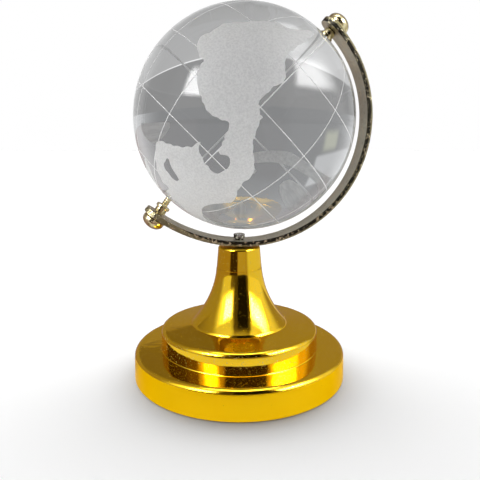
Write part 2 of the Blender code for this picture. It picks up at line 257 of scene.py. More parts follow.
class NodeBench:
    """Adds nodes to one node tree."""

    def __init__(self, tree: bpy.types.NodeTree) -> None:
        """Starts on a material's or the world's tree, and empties it."""
        tree.nodes.clear()
        self.tree = tree

    def add(
        self,
        kind: str,
        settings: Optional[dict] = None,
        sockets: Optional[dict] = None,
        output: Union[int, str] = 0,
    ) -> Socket:
        """Adds any node, sets it up and connects it.

        Args:
            kind: Blender's type name of the node.
            settings: Attributes that are set first.
            sockets: Values or links of its inputs, by name or index.
            output: Name or index of the output wanted.

        Returns:
            The wanted output.
        """
        node = self.tree.nodes.new(kind)
        for name, value in (settings or {}).items():
            setattr(node, name, value)
        for key, value in (sockets or {}).items():
            if isinstance(value, Socket):
                self.tree.links.new(value.output, node.inputs[key])
            else:
                node.inputs[key].default_value = value
        return Socket(self, node.outputs[output])

    def compute(self, operation: str, *values: Number) -> Socket:
        """Adds one Math node, by Blender's name of its operation, on values in order."""
        return self.add("ShaderNodeMath", {"operation": operation}, dict(enumerate(values)))

    def place(self) -> Socket:
        """Position on the object, in its own coordinates."""
        return self.add("ShaderNodeTexCoord", output="Object")

    def ray(self, kind: str) -> Socket:
        """Value of a Light Path output, which tells what kind of ray looks here."""
        return self.add("ShaderNodeLightPath", output=kind)

    def axes(self, vector: Socket) -> tuple[Socket, ...]:
        """The X, Y and Z of a vector."""
        node = self.add("ShaderNodeSeparateXYZ", {}, {0: vector}).output.node
        return tuple(Socket(self, output) for output in node.outputs)

    def noise(self, vector: Socket, per_mm: float, octaves: float, fine: float) -> Socket:
        """Cloudy noise of about 0 to 1, by grains per millimetre and the share of fine octaves."""
        sockets = {"Vector": vector, "Scale": per_mm / MM, "Detail": octaves, "Roughness": fine}
        return self.add("ShaderNodeTexNoise", {"noise_dimensions": "3D"}, sockets, "Fac")

    def stretched(self, vector: Socket, scale: Sequence[float]) -> Socket:
        """A vector scaled along its axes."""
        return self.add("ShaderNodeVectorMath", {"operation": "MULTIPLY"}, {0: vector, 1: scale})

    def distance(self, vector: Socket, spot: Sequence[float]) -> Socket:
        """How far a vector is from a fixed spot."""
        settings = {"operation": "DISTANCE"}
        return self.add("ShaderNodeVectorMath", settings, {0: vector, 1: spot}, "Value")

    def scaled(self, colour: Tint, level: Number) -> Socket:
        """A colour made brighter or darker."""
        settings = {"operation": "SCALE"}
        return self.add("ShaderNodeVectorMath", settings, {0: colour, "Scale": level})

    def blend(self, share: Number, first: Tint, second: Tint) -> Socket:
        """Mix of two colours.

        Args:
            share: Share of the second, which is kept between 0 and 1.
            first: Colour at 0.
            second: Colour at 1.

        Returns:
            The mixed colour.
        """
        mixed = [tint if isinstance(tint, Socket) else (*tint, 1.0) for tint in (first, second)]
        settings = {"data_type": "RGBA", "clamp_factor": True}
        return self.add("ShaderNodeMix", settings, {0: share, 6: mixed[0], 7: mixed[1]}, 2)

    def bump(self, height: Socket, depth: float, strength: float) -> Socket:
        """Normals bent by a height of about 0 to 1, with the depth in metres that 1 stands for."""
        sockets = {"Height": height, "Distance": depth, "Strength": strength}
        return self.add("ShaderNodeBump", {}, sockets)

    def finish(self, shader: Socket, kind: str) -> None:
        """Connects a shader to an output node, of Blender's type name."""
        node = self.tree.nodes.new(kind)
        self.tree.links.new(shader.output, node.inputs["Surface"])


@dataclass(frozen=True)
class Finish:
    """Base of every finish: makes one material with a Principled shader.

    Attributes:
        name: Name of the material.
    """

    name: str

    def plain(self) -> dict[str, Union[float, tuple]]:
        """Shader sockets that are the same all over: bare metal unless a finish says otherwise."""
        return {"Metallic": 1.0}

    def varying(self, nodes: NodeBench, place: Socket) -> dict[str, Socket]:
        """Shader sockets that change over the surface.

        Args:
            nodes: Bench of the material's tree.
            place: Position on the piece, in its own coordinates.

        Returns:
            The links, by socket name.
        """
        raise NotImplementedError

    def make(self) -> Material:
        """Makes the material.

        Returns:
            The new material.
        """
        material = bpy.data.materials.new(self.name)
        material.use_nodes = True
        nodes = NodeBench(material.node_tree)
        sockets = {**self.plain(), **self.varying(nodes, nodes.place())}
        shader = nodes.add("ShaderNodeBsdfPrincipled", {}, sockets, "BSDF")
        nodes.finish(shader, "ShaderNodeOutputMaterial")
        return material


class ClearGlass(Finish):
    """Polished crystal glass, see-through, with faint smudges in its polish."""

    def plain(self) -> dict:
        """Clear all the way through."""
        return {"Base Color": (0.985, 0.99, 0.99, 1.0), "Transmission Weight": 1.0, "IOR": 1.5}

    def varying(self, nodes: NodeBench, place: Socket) -> dict[str, Socket]:
        """Smudges, as a slight change of the polish.

        Args:
            nodes: Bench of the material's tree.
            place: Position on the ball.

        Returns:
            The links, by socket name.
        """
        smudges = nodes.noise(place, per_mm=0.16, octaves=4.0, fine=0.6).step(0.6, 0.85)
        return {"Roughness": 0.008 * smudges}


@dataclass(frozen=True)
class FrostedGlass(Finish):
    """Sandblasted glass of the land: pale, fine-grained and only a little see-through.

    Attributes:
        shade: Colour between the grains.
        grains: Colour of the grains.
    """

    shade: Colour = (0.78, 0.78, 0.775)
    grains: Colour = (1.0, 1.0, 0.99)

    def plain(self) -> dict:
        """A little see-through."""
        return {"Transmission Weight": 0.3, "IOR": 1.5}

    def varying(self, nodes: NodeBench, place: Socket) -> dict[str, Socket]:
        """Fine grain in the colour, the blur and the surface.

        Args:
            nodes: Bench of the material's tree.
            place: Position on the ball.

        Returns:
            The links, by socket name.
        """
        grain = nodes.noise(place, per_mm=2.6, octaves=2.0, fine=0.7)
        cloud = nodes.noise(place, per_mm=0.35, octaves=3.0, fine=0.5)
        tone = 0.75 * grain.step(0.3, 0.7) + 0.25 * cloud
        return {
            "Base Color": nodes.blend(tone, self.shade, self.grains),
            "Roughness": 0.5 + 0.2 * grain,
            "Normal": nodes.bump(grain, depth=0.03 * MM, strength=0.5),
        }


class EngravedLine(Finish):
    """Ground white bottom of the fine engraved grid lines."""

    def plain(self) -> dict:
        """Hardly see-through."""
        return {"Transmission Weight": 0.2, "IOR": 1.5}

    def varying(self, nodes: NodeBench, place: Socket) -> dict[str, Socket]:
        """Chipped grain along the line.

        Args:
            nodes: Bench of the material's tree.
            place: Position on the ball.

        Returns:
            The links, by socket name.
        """
        grain = nodes.noise(place, per_mm=5.0, octaves=2.0, fine=0.6)
        worn = nodes.noise(place, per_mm=0.5, octaves=2.0, fine=0.6).step(0.4, 0.65)
        colour = nodes.blend(0.5 * (grain + worn), (0.9, 0.9, 0.9), WHITE)
        return {"Base Color": colour, "Roughness": 0.4 + 0.3 * grain}


@dataclass(frozen=True)
class GoldPlate(Finish):
    """Mirror-bright yellow plating, satin on the base's outer wall and dusty on the tier's.

    Attributes:
        wall_radius: Radius beyond which the base's wall begins.
        wall_top: Height at which that wall ends.
        tier_wall: Radii between which the tier's wall lies.
        tier_top: Heights between which the tier's wall ends, the higher one first.
        fade: Width over which one finish gives way to the other.
        mirror: Colours of the bright plating, under thin and thick lacquer.
        satin: The same two for the satin wall.
        pit: Colour of the pits.
        dust: Colour of the dust.
    """

    wall_radius: float = 24.6 * MM
    wall_top: float = 5.85 * MM
    tier_wall: Point = (18.0 * MM, 19.0 * MM)
    tier_top: Point = (12.0 * MM, 11.0 * MM)
    fade: float = 0.3 * MM
    mirror: tuple[Colour, Colour] = ((0.94, 0.57, 0.008), (0.97, 0.63, 0.014))
    satin: tuple[Colour, Colour] = ((0.93, 0.51, 0.002), (0.97, 0.6, 0.006))
    pit: Colour = (0.3, 0.17, 0.02)
    dust: Colour = (1.0, 0.7, 0.3)

    def plain(self) -> dict:
        """Tint of its edge reflections and the polish of its lacquer."""
        return {"Specular Tint": (1.0, 0.82, 0.42, 1.0), "Coat Roughness": 0.03}

    def varying(self, nodes: NodeBench, place: Socket) -> dict[str, Socket]:
        """Thickness of the lacquer, satin wall, pits, dust and soft waves.

        Args:
            nodes: Bench of the material's tree.
            place: Position on the stand.

        Returns:
            The links, by socket name.
        """
        x, y, z = nodes.axes(place)
        radius = (x * x + y * y) ** 0.5
        wall = radius.step(self.wall_radius - self.fade, self.wall_radius)
        wall = wall * z.step(self.wall_top + self.fade, self.wall_top)
        tier = radius.band(*self.tier_wall, self.fade) * z.step(*self.tier_top)
        lacquer = nodes.noise(place, per_mm=0.12, octaves=3.0, fine=0.5)
        pits = nodes.noise(place, per_mm=1.3, octaves=2.0, fine=0.7).step(0.73, 0.78)
        specks = nodes.noise(place, per_mm=2.4, octaves=2.0, fine=0.7).step(0.61, 0.68)
        specks = specks * (1.0 - wall) * (0.25 + 0.75 * tier)
        blast = nodes.noise(place, per_mm=5.0, octaves=2.0, fine=0.6)
        waves = nodes.noise(place, per_mm=0.22, octaves=2.0, fine=0.5)
        mirror = nodes.blend(lacquer, *self.mirror)
        colour = nodes.blend(wall, mirror, nodes.blend(lacquer, *self.satin))
        colour = nodes.blend(pits * 0.6, colour, self.pit)
        height = waves * (1.0 - 0.5 * wall) + wall * blast * 0.02
        return {
            "Base Color": nodes.blend(specks, colour, self.dust),
            "Roughness": 0.04 + 0.05 * lacquer + wall * (0.26 + 0.06 * blast) + 0.2 * pits,
            "Metallic": 1.0 - specks,
            "Coat Weight": 0.35 * (1.0 - wall),
            "Normal": nodes.bump(height, depth=0.12 * MM, strength=0.5),
        }


@dataclass(frozen=True)
class ArcPlating(Finish):
    """Dull tan-grey plating of the arc, brushed along it, with a painted highlight as paler plating
    at one end.

    Attributes:
        painted_highlight_centre: Middle of the painted highlight at one end.
        painted_highlight_reach: How far the painted highlight goes.
        brushed: Colours of the brushed streaks.
        worn: Colour of the worn patches.
        chipped: Colour of the chips.
        painted_highlight_tints: Colours of the painted highlight.
    """

    painted_highlight_centre: Spot = (0.0, 0.0, 0.0)
    painted_highlight_reach: float = 4.2 * MM
    brushed: tuple[Colour, Colour] = ((0.36, 0.355, 0.29), (0.62, 0.6, 0.48))
    worn: Colour = (0.62, 0.55, 0.38)
    chipped: Colour = (0.8, 0.7, 0.42)
    painted_highlight_tints: tuple[Colour, Colour] = ((0.55, 0.5, 0.34), (0.95, 0.9, 0.68))

    def varying(self, nodes: NodeBench, place: Socket) -> dict[str, Socket]:
        """Streaks, worn pale patches, small chips and a painted highlight near one end.

        Args:
            nodes: Bench of the material's tree.
            place: Position on the strip.

        Returns:
            The links, by socket name.
        """
        along = nodes.stretched(place, (0.35, 3.0, 0.35))
        streak = nodes.noise(along, per_mm=1.0, octaves=3.0, fine=0.6)
        patch = nodes.noise(place, per_mm=0.45, octaves=3.0, fine=0.6).step(0.45, 0.7)
        chip = nodes.noise(place, per_mm=1.6, octaves=2.0, fine=0.6).step(0.56, 0.68)
        # Paler, brighter plating near the lower hole: a painted highlight.
        away = nodes.distance(place, self.painted_highlight_centre)
        bright = away.step(self.painted_highlight_reach, 0.6 * self.painted_highlight_reach)
        colour = nodes.blend(streak, *self.brushed)
        colour = nodes.blend(patch * 0.5, colour, self.worn)
        colour = nodes.blend(chip * 0.55, colour, self.chipped)
        return {
            "Base Color": nodes.blend(bright, colour, nodes.blend(patch, *self.painted_highlight_tints)),
            "Roughness": 0.3 + 0.15 * streak - 0.14 * chip - 0.12 * bright,
            "Normal": nodes.bump(chip + 0.3 * streak, depth=0.06 * MM, strength=0.6),
        }


@dataclass(frozen=True)
class ArcEdge(Finish):
    """Edges of the arc: painted dark on the inner half, standing in for a dark reflection, and dull
    olive outside it, with pale spots that are partly rubbed plating and partly painted highlights.

    Attributes:
        centre: Middle of the arc's circle.
        middle: Radius at which the painted dark gives way.
        fade: Half the width over which it does.
        waver: How far that border wavers.
        painted_dark_edge: Painted dark of the inner half, standing in for a dark reflection.
        olive: Colour of the outer half.
        painted_glint: Colour of the pale spots, partly rubbed plating and partly painted highlights.
    """

    centre: Spot = (0.0, 0.0, 0.0)
    middle: float = 28.6 * MM
    fade: float = 0.15 * MM
    waver: float = 0.5 * MM
    painted_dark_edge: Colour = (0.03, 0.028, 0.022)
    olive: Colour = (0.34, 0.3, 0.17)
    painted_glint: Colour = (0.95, 0.88, 0.62)

    def varying(self, nodes: NodeBench, place: Socket) -> dict[str, Socket]:
        """Painted dark and olive, with pale spots: partly rubbed plating, partly painted highlights.

        Args:
            nodes: Bench of the material's tree.
            place: Position on the strip.

        Returns:
            The links, by socket name.
        """
        rub = nodes.noise(place, per_mm=1.5, octaves=3.0, fine=0.65)
        # Pale spots: partly rubbed plating, partly painted highlights.
        painted_glints = rub.step(0.54, 0.62)
        radius = nodes.distance(nodes.stretched(place, (1.0, 0.0, 1.0)), self.centre)
        border = radius + (rub - 0.5) * self.waver
        outer = border.step(self.middle - self.fade, self.middle + self.fade)
        # Painted dark reflection on the inner half, olive outside it.
        painted_dark_and_olive = nodes.blend(outer, self.painted_dark_edge, self.olive)
        return {
            "Base Color": nodes.blend(painted_glints, painted_dark_and_olive, self.painted_glint),
            "Roughness": 0.4 - 0.25 * painted_glints,
            "Normal": nodes.bump(rub, depth=0.16 * MM, strength=0.9),
        }


@dataclass(frozen=True)
class PaleGold(Finish):
    """Pale gold plating of the pins and cap nuts, uneven and bright.

    Attributes:
        dull: Colour of the dull patches.
        bright: Colour of the rest.
    """

    dull: Colour = (0.6, 0.5, 0.25)
    bright: Colour = (0.93, 0.84, 0.55)

    def varying(self, nodes: NodeBench, place: Socket) -> dict[str, Socket]:
        """Dull patches and dents.

        Args:
            nodes: Bench of the material's tree.
            place: Position on the pin or nut.

        Returns:
            The links, by socket name.
        """
        patch = nodes.noise(place, per_mm=0.8, octaves=3.0, fine=0.6)
        dents = nodes.noise(place, per_mm=0.9, octaves=2.0, fine=0.5)
        return {
            "Base Color": nodes.blend(patch.step(0.35, 0.65), self.dull, self.bright),
            "Roughness": 0.1 + 0.12 * patch,
            "Normal": nodes.bump(dents, depth=0.16 * MM, strength=0.5),
        }


@dataclass(frozen=True)
class ScrewSteel(Finish):
    """Dark bright steel of the screw.

    Attributes:
        stained: Colour of the stains.
        bright: Colour of the rest.
    """

    stained: Colour = (0.16, 0.15, 0.14)
    bright: Colour = (0.62, 0.61, 0.58)

    def varying(self, nodes: NodeBench, place: Socket) -> dict[str, Socket]:
        """Dark stains.

        Args:
            nodes: Bench of the material's tree.
            place: Position on the screw.

        Returns:
            The links, by socket name.
        """
        stain = nodes.noise(place, per_mm=1.2, octaves=3.0, fine=0.6)
        colour = nodes.blend(stain.step(0.35, 0.6), self.stained, self.bright)
        return {"Base Color": colour, "Roughness": 0.18 + 0.15 * stain}


class Workbench:
    """Modelling steps on one mesh object at a time."""

    @staticmethod
    def clear() -> None:
        """Leaves nothing selected and edit mode closed."""
        if bpy.context.object is not None and bpy.context.object.mode != "OBJECT":
            bpy.ops.object.mode_set(mode="OBJECT")
        bpy.ops.object.select_all(action="DESELECT")

    @staticmethod
    def start(name: str, primitive: Callable[..., set], **size: object) -> Piece:
        """Starts a piece from a primitive.

        Args:
            name: Name of the piece.
            primitive: Operator that adds the primitive.
            size: What the operator is given.

        Returns:
            The new piece, which alone is selected.
        """
        Workbench.clear()
        primitive(**size)
        bpy.context.object.name = name
        return bpy.context.object

    @staticmethod
    def only(piece: Piece) -> None:
        """Selects one piece and makes it active.

        Args:
            piece: The piece.
        """
        Workbench.clear()
        piece.select_set(True)
        bpy.context.view_layer.objects.active = piece

    @staticmethod
    def edit_faces(action: str) -> None:
        """Opens edit mode on the active piece.

        Args:
            action: What is done to its faces, SELECT or DESELECT.
        """
        bpy.ops.object.mode_set(mode="EDIT")
        bpy.ops.mesh.select_mode(type="FACE")
        bpy.ops.mesh.select_all(action=action)

    @staticmethod
    def close_solid() -> None:
        """Turns every face of the edited solid outwards and closes edit mode."""
        bpy.ops.mesh.select_all(action="SELECT")
        bpy.ops.mesh.normals_make_consistent(inside=False)
        bpy.ops.object.mode_set(mode="OBJECT")

    @staticmethod
    def settle(piece: Piece, matrix: Optional[Matrix] = None) -> None:
        """Puts a place into a piece's mesh, so that its object stays at the origin.

        Args:
            piece: The piece.
            matrix: A place on top of the object's own.
        """
        if matrix is not None:
            piece.matrix_world = matrix @ piece.matrix_world
        Workbench.only(piece)
        bpy.ops.object.transform_apply(location=True, rotation=True, scale=True)

    @staticmethod
    def apply(piece: Piece, kind: str, **settings: object) -> None:
        """Adds a modifier and applies it.

        Args:
            piece: The piece.
            kind: Blender's type name of the modifier.
            settings: Its attributes.
        """
        Workbench.only(piece)
        modifier = piece.modifiers.new("step", kind)
        for name, value in settings.items():
            setattr(modifier, name, value)
        bpy.ops.object.modifier_apply(modifier=modifier.name)

    @staticmethod
    def cut(piece: Piece, cutter: Piece) -> None:
        """Cuts one solid out of a piece and throws the cutter away."""
        Workbench.apply(piece, "BOOLEAN", operation="DIFFERENCE", solver="EXACT", object=cutter)
        bpy.data.objects.remove(cutter, do_unlink=True)

    @staticmethod
    def bevel(piece: Piece, width: float, segments: int, angle: float) -> None:
        """Breaks the edges of a piece that turn by more than an angle in degrees."""
        limit = {"limit_method": "ANGLE", "angle_limit": math.radians(angle)}
        Workbench.apply(piece, "BEVEL", width=width, segments=segments, **limit)

    @staticmethod
    def smooth(piece: Piece, angle: float) -> None:
        """Shades a piece smooth, with edges over an angle in degrees left sharp."""
        Workbench.only(piece)
        bpy.ops.object.shade_smooth_by_angle(angle=math.radians(angle))

    @staticmethod
    def turn(name: str, profile: Sequence[Point], sides: int) -> Piece:
        """Turns a closed solid about Z, ring by ring, from its first to its last station.

        Args:
            name: Name of the piece.
            profile: Stations of (radius, height), the first and last of which are capped.
            sides: Sides of each ring.

        Returns:
            The piece.
        """
        radius, height = profile[0]
        size = {"vertices": sides, "radius": radius, "fill_type": "NGON"}
        circle = bpy.ops.mesh.primitive_circle_add
        piece = Workbench.start(name, circle, location=(0.0, 0.0, height), **size)
        Workbench.settle(piece)
        Workbench.edit_faces("SELECT")
        for next_radius, next_height in profile[1:]:
            rise = (0.0, 0.0, next_height - height)
            bpy.ops.mesh.extrude_region_move(TRANSFORM_OT_translate={"value": rise})
            grow = next_radius / radius
            centre = (0.0, 0.0, next_height)
            bpy.ops.transform.resize(value=(grow, grow, 1.0), center_override=centre)
            radius, height = next_radius, next_height
        Workbench.close_solid()
        return piece

    @staticmethod
    def dress(
        piece: Piece, finishes: Iterable[Material], body: Body, slot: Slot, node: str
    ) -> None:
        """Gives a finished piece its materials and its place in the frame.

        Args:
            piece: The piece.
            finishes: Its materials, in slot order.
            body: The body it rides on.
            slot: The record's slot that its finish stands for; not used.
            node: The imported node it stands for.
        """
        piece.data.materials.clear()
        for finish in finishes:
            piece.data.materials.append(finish)
        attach(piece, body.value)
        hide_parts(node)


def arc_stations(centre: Point, radius: float, start: float, end: float, steps: int) -> list[Point]:
    """Points on a circle arc, both ends included.

    Args:
        centre: Its centre.
        radius: Its radius.
        start: First angle in radians.
        end: Last angle in radians.
        steps: Number of equal steps.

    Returns:
        The points.
    """
    angles = [start + (end - start) * k / steps for k in range(steps + 1)]
    return [(centre[0] + radius * math.cos(a), centre[1] + radius * math.sin(a)) for a in angles]


def shifted(origin: Point, offsets: Iterable[Point]) -> list[Point]:
    """Points at given offsets from an origin."""
    return [(origin[0] + out, origin[1] + up) for out, up in offsets]


def outward(angle: float) -> Vector:
    """Unit vector in the arc's plane at an angle from +X towards +Z."""
    return Vector((math.cos(angle), 0.0, math.sin(angle)))


@dataclass(kw_only=True)
class Turned:
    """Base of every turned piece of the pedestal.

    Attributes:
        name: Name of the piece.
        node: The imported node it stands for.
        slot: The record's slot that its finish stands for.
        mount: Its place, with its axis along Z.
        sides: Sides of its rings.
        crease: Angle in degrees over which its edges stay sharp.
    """

    name: str
    node: str
    slot: Slot = Slot.PALE_GOLD
    mount: Optional[Matrix] = None
    sides: int = 48
    crease: float = 40.0

    def profile(self) -> list[Point]:
        """Stations of (radius, height) of the turned blank."""
        raise NotImplementedError

    def work(self, blank: Piece) -> None:
        """Works on the blank while it still stands along its own Z; plain pieces need none."""

    def build(self, finish: Material) -> Piece:
        """Turns, works, places and dresses the piece.

        Args:
            finish: Its finish.

        Returns:
            The piece.
        """
        piece = Workbench.turn(self.name, self.profile(), self.sides)
        self.work(piece)
        Workbench.settle(piece, self.mount)
        Workbench.smooth(piece, self.crease)
        Workbench.dress(piece, [finish], Body.PEDESTAL, self.slot, self.node)
        return piece


@dataclass(kw_only=True)
class Stand(Turned):
    """The turned stand: base disc, tier, flared stem and neck.

    Attributes:
        base_radius: Widest radius of the base.
        base_top: Height of the base's shoulder.
        base_edge: Radius of its rounded edge.
        base_lean: How much narrower the base is at the shoulder.
        foot_edge: Radius of the edge round the underside.
        foot_steps: Steps of that edge.
        edge_steps: Steps of the rounded edges of the base and the tier.
        tier_radius: Radius of the tier's foot.
        tier_top: Height of the tier's shoulder.
        tier_edge: Radius of its rounded edge.
        tier_lean: How much narrower the tier is at the shoulder.
        tier_fillet: Offsets of the stations where the tier rises from the base.
        tier_brim: Height of the last station under its rounded edge.
        flare_foot: Radius of the flare at its foot.
        flare_fillet: Offsets of the stations where the flare rises from the tier.
        flare_rise: Height of the flare's start over the tier's shoulder.
        flare_radius: Radius of the flare's hollow curve.
        flare_angles: Its angles at the foot and at the neck.
        flare_steps: Its steps.
        neck_bead: Offsets of the stations between the flare and the neck.
        neck_radius: Radius of the neck.
        neck_top: Height of the neck.
        neck_edge: Radius of its rounded edge.
        neck_steps: Steps of that edge.
        hole_radius: Radius of the screw hole.
        hole_depth: Its depth.
    """

    name: str = "stand_turning"
    node: str = "stand"
    slot: Slot = Slot.GOLD
    sides: int = 224
    crease: float = 32.0
    base_radius: float = 25.55 * MM
    base_top: float = 6.95 * MM
    base_edge: float = 1.3 * MM
    base_lean: float = 0.15 * MM
    foot_edge: float = 0.45 * MM
    foot_steps: int = 6
    edge_steps: int = 16
    tier_radius: float = 19.05 * MM
    tier_top: float = 12.05 * MM
    tier_edge: float = 1.25 * MM
    tier_lean: float = 0.1 * MM
    tier_fillet: tuple[Point, ...] = (
        (0.1 * MM, 0.05 * MM),
        (0.03 * MM, 0.15 * MM),
        (0.0, 0.25 * MM),
        (0.0, 0.35 * MM),
    )
    tier_brim: float = 0.1 * MM
    flare_foot: float = 11.6 * MM
    flare_fillet: tuple[Point, ...] = ((0.3 * MM, 0.55 * MM), (0.08 * MM, 0.59 * MM))
    flare_rise: float = 0.85 * MM
    flare_radius: float = 22.16 * MM
    flare_angles: Point = (math.radians(44.1), math.radians(5.5))
    flare_steps: int = 36
    neck_bead: tuple[Point, ...] = ((-0.06 * MM, 0.03 * MM), (-0.06 * MM, 0.28 * MM))
    neck_radius: float = 5.0 * MM
    neck_top: float = 31.55 * MM
    neck_edge: float = 0.55 * MM
    neck_steps: int = 10
    hole_radius: float = 1.1 * MM
    hole_depth: float = 4.5 * MM

    def profile(self) -> list[Point]:
        """Works out its outline.

        Returns:
            The stations, from the underside to the bottom of the screw hole.
        """
        foot = (self.base_radius - self.foot_edge, self.foot_edge)
        base_out = self.base_radius - self.base_lean
        base = (base_out - self.base_edge, self.base_top - self.base_edge)
        tier_out = self.tier_radius - self.tier_lean
        tier = (tier_out - self.tier_edge, self.tier_top - self.tier_edge)
        neck = (self.neck_radius - self.neck_edge, self.neck_top - self.neck_edge)
        lowest, highest = self.flare_angles
        centre = (
            self.flare_foot + self.flare_radius * math.cos(lowest),
            self.tier_top + self.flare_rise + self.flare_radius * math.sin(lowest),
        )
        turn = (math.pi + lowest, math.pi + highest)
        flare = arc_stations(centre, self.flare_radius, *turn, self.flare_steps)
        return [
            (foot[0] - self.foot_edge, 0.0),
            *arc_stations(foot, self.foot_edge, -QUARTER, 0.0, self.foot_steps),
            *arc_stations(base, self.base_edge, 0.0, QUARTER, self.edge_steps),
            *shifted((self.tier_radius, self.base_top), self.tier_fillet),
            (tier_out, tier[1] - self.tier_brim),
            *arc_stations(tier, self.tier_edge, 0.0, QUARTER, self.edge_steps),
            *shifted((self.flare_foot, self.tier_top), self.flare_fillet),
            *flare,
            *shifted(flare[-1], self.neck_bead),
            *arc_stations(neck, self.neck_edge, 0.0, QUARTER, self.neck_steps),
            (self.hole_radius, self.neck_top),
            (self.hole_radius, self.neck_top - self.hole_depth),
        ]


@dataclass
class Arc:
    """The flat strip bent round the ball.

    Attributes:
        ball_centre: Centre of the ball and of the tight bend.
        radius: Radius of the tight bend, to the middle of the strip.
        opened_radius: Radius of the slacker bend at the lower end.
        opening_angle: Angle at which the bend turns slacker.
        upper_angle: Angle of the upper hole.
        lower_angle: Angle of the lower hole, about the slacker bend's centre.
        thickness: Thickness of the strip.
        width: Its width.
        edge: Width of its broken edges.
        opened_rise: How far the slacker bend rises over the place where it begins.
        edge_lean: How far the normals of its edges may lean out of square to the bend.
        hole_radius: Radius of its three holes.
        hole_sides: Sides of the holes.
        end_width: Width of the round ends' last stations, as a share of the strip's.
        end_steps: Stations of each round end.
        tight_steps: Stations of the tight bend.
        slack_steps: Stations of the slacker bend.
    """

    ball_centre: Vector
    radius: float = 28.35 * MM
    opened_radius: float = 34.35 * MM
    opening_angle: float = math.radians(-87.3)
    upper_angle: float = math.radians(45.0)
    lower_angle: float = math.radians(-126.0)
    thickness: float = 1.2 * MM
    width: float = 6.2 * MM
    edge: float = 0.2 * MM
    opened_rise: float = 12.0 * MM
    edge_lean: float = 0.35
    hole_radius: float = 1.05 * MM
    hole_sides: int = 48
    end_width: float = 0.03
    end_steps: int = 14
    tight_steps: int = 90
    slack_steps: int = 32

    def opened_centre(self) -> Vector:
        """Centre of the slacker bend."""
        return self.ball_centre + (self.radius - self.opened_radius) * outward(self.opening_angle)

    @staticmethod
    def mount_at(centre: Vector, radius: float, angle: float) -> Matrix:
        """Place of a hole, with its Z facing out of its bend.

        Args:
            centre: Centre of the bend.
            radius: Its radius.
            angle: The hole's angle.

        Returns:
            The place.
        """
        out = outward(angle)
        turn = Matrix((Y_AXIS.cross(out), Y_AXIS, out)).transposed().to_4x4()
        return Matrix.Translation(centre + radius * out) @ turn

    def upper_mount(self) -> Matrix:
        """Place of the upper hole."""
        return self.mount_at(self.ball_centre, self.radius, self.upper_angle)

    def lower_mount(self) -> Matrix:
        """Place of the lower hole."""
        return self.mount_at(self.opened_centre(), self.opened_radius, self.lower_angle)

    def face_height(self, offset: float, side: float) -> float:
        """Height of the slacker bend's inner (-1) or outer (+1) face, by distance from centre."""
        reach = self.opened_radius + side * self.thickness / 2
        return self.opened_centre().z - math.sqrt(reach**2 - offset**2)

    def stations(self) -> list[tuple[Vector, float, float, float]]:
        """Divides the strip into stations, end to end.

        Returns:
            Centre of bend, radius of bend, angle and half width of each.
        """
        half = self.width / 2
        tight, slack = (self.ball_centre, self.radius), (self.opened_centre(), self.opened_radius)
        runs = (
            (tight, self.upper_angle, self.opening_angle, self.tight_steps, 0),
            (slack, self.opening_angle, self.lower_angle, self.slack_steps, 1),
        )
        found = [
            (*bend, first + (last - first) * (k / steps), half)
            for bend, first, last, steps, closing in runs
            for k in range(steps + closing)
        ]
        for k in range(1, self.end_steps + 1):
            turn = QUARTER * k / self.end_steps
            past, wide = half * math.sin(turn), half * max(math.cos(turn), self.end_width)
            found.insert(0, (*tight, self.upper_angle + past / self.radius, wide))
            found.append((*slack, self.lower_angle - past / self.opened_radius, wide))
        return found

    def build(self, plating: Material, edge: Material) -> Piece:
        """Draws the strip out round its bends, drills it and breaks its edges.

        Args:
            plating: Finish of its faces.
            edge: Finish of its narrow edges.

        Returns:
            The piece.
        """
        (centre, radius, angle, wide), *others = self.stations()
        piece = Workbench.start("arc_strip", bpy.ops.mesh.primitive_plane_add, size=1.0)
        out = outward(angle)
        turn = Matrix((out, Y_AXIS, out.cross(Y_AXIS))).transposed().to_4x4()
        size = Matrix.Diagonal((self.thickness, 2 * wide, 1.0, 1.0))
        Workbench.settle(piece, Matrix.Translation(centre + radius * out) @ turn @ size)
        Workbench.edit_faces("SELECT")
        for next_centre, next_radius, next_angle, next_wide in others:
            bpy.ops.mesh.extrude_region_move(TRANSFORM_OT_translate={"value": (0.0, 0.0, 0.0)})
            shift = next_centre - centre + (next_radius - radius) * outward(angle)
            turned, grow = next_angle - angle, (1.0, next_wide / wide, 1.0)
            bpy.ops.transform.translate(value=shift)
            bpy.ops.transform.rotate(value=turned, orient_axis="Y", center_override=next_centre)
            bpy.ops.transform.resize(value=grow, center_override=next_centre)
            centre, radius, angle, wide = next_centre, next_radius, next_angle, next_wide
        Workbench.close_solid()
        self._drill(piece)
        Workbench.bevel(piece, width=self.edge, segments=3, angle=50.0)
        Workbench.smooth(piece, angle=35.0)
        Workbench.dress(piece, [plating, edge], Body.PEDESTAL, Slot.ARC, "meridian_arc")
        self._finish_edges(piece)
        return piece

    def _drill(self, piece: Piece) -> None:
        """Drills the two pivot holes and the screw hole.

        Args:
            piece: The strip.
        """
        depth = 6.0 * self.thickness
        size = {"vertices": self.hole_sides, "radius": self.hole_radius, "depth": depth}
        middle = (0.0, 0.0, self.face_height(self.opened_centre().x, 1.0))
        for mount in (self.upper_mount(), self.lower_mount(), Matrix.Translation(middle)):
            drill = Workbench.start("drill", bpy.ops.mesh.primitive_cylinder_add, **size)
            Workbench.settle(drill, mount)
            Workbench.cut(piece, drill)

    def _finish_edges(self, piece: Piece) -> None:
        """Gives the strip's narrow edges their own finish.

        Args:
            piece: The strip.
        """
        slack = self.opened_centre()
        turning = self.ball_centre + self.radius * outward(self.opening_angle)
        for face in piece.data.polygons:
            x, _, z = face.center
            opened = x < turning.x and z < turning.z + self.opened_rise
            centre = slack if opened else self.ball_centre
            out = Vector((x - centre.x, 0.0, z - centre.z)).normalized()
            if abs(face.normal.dot(out)) < self.edge_lean:
                face.material_index = 1


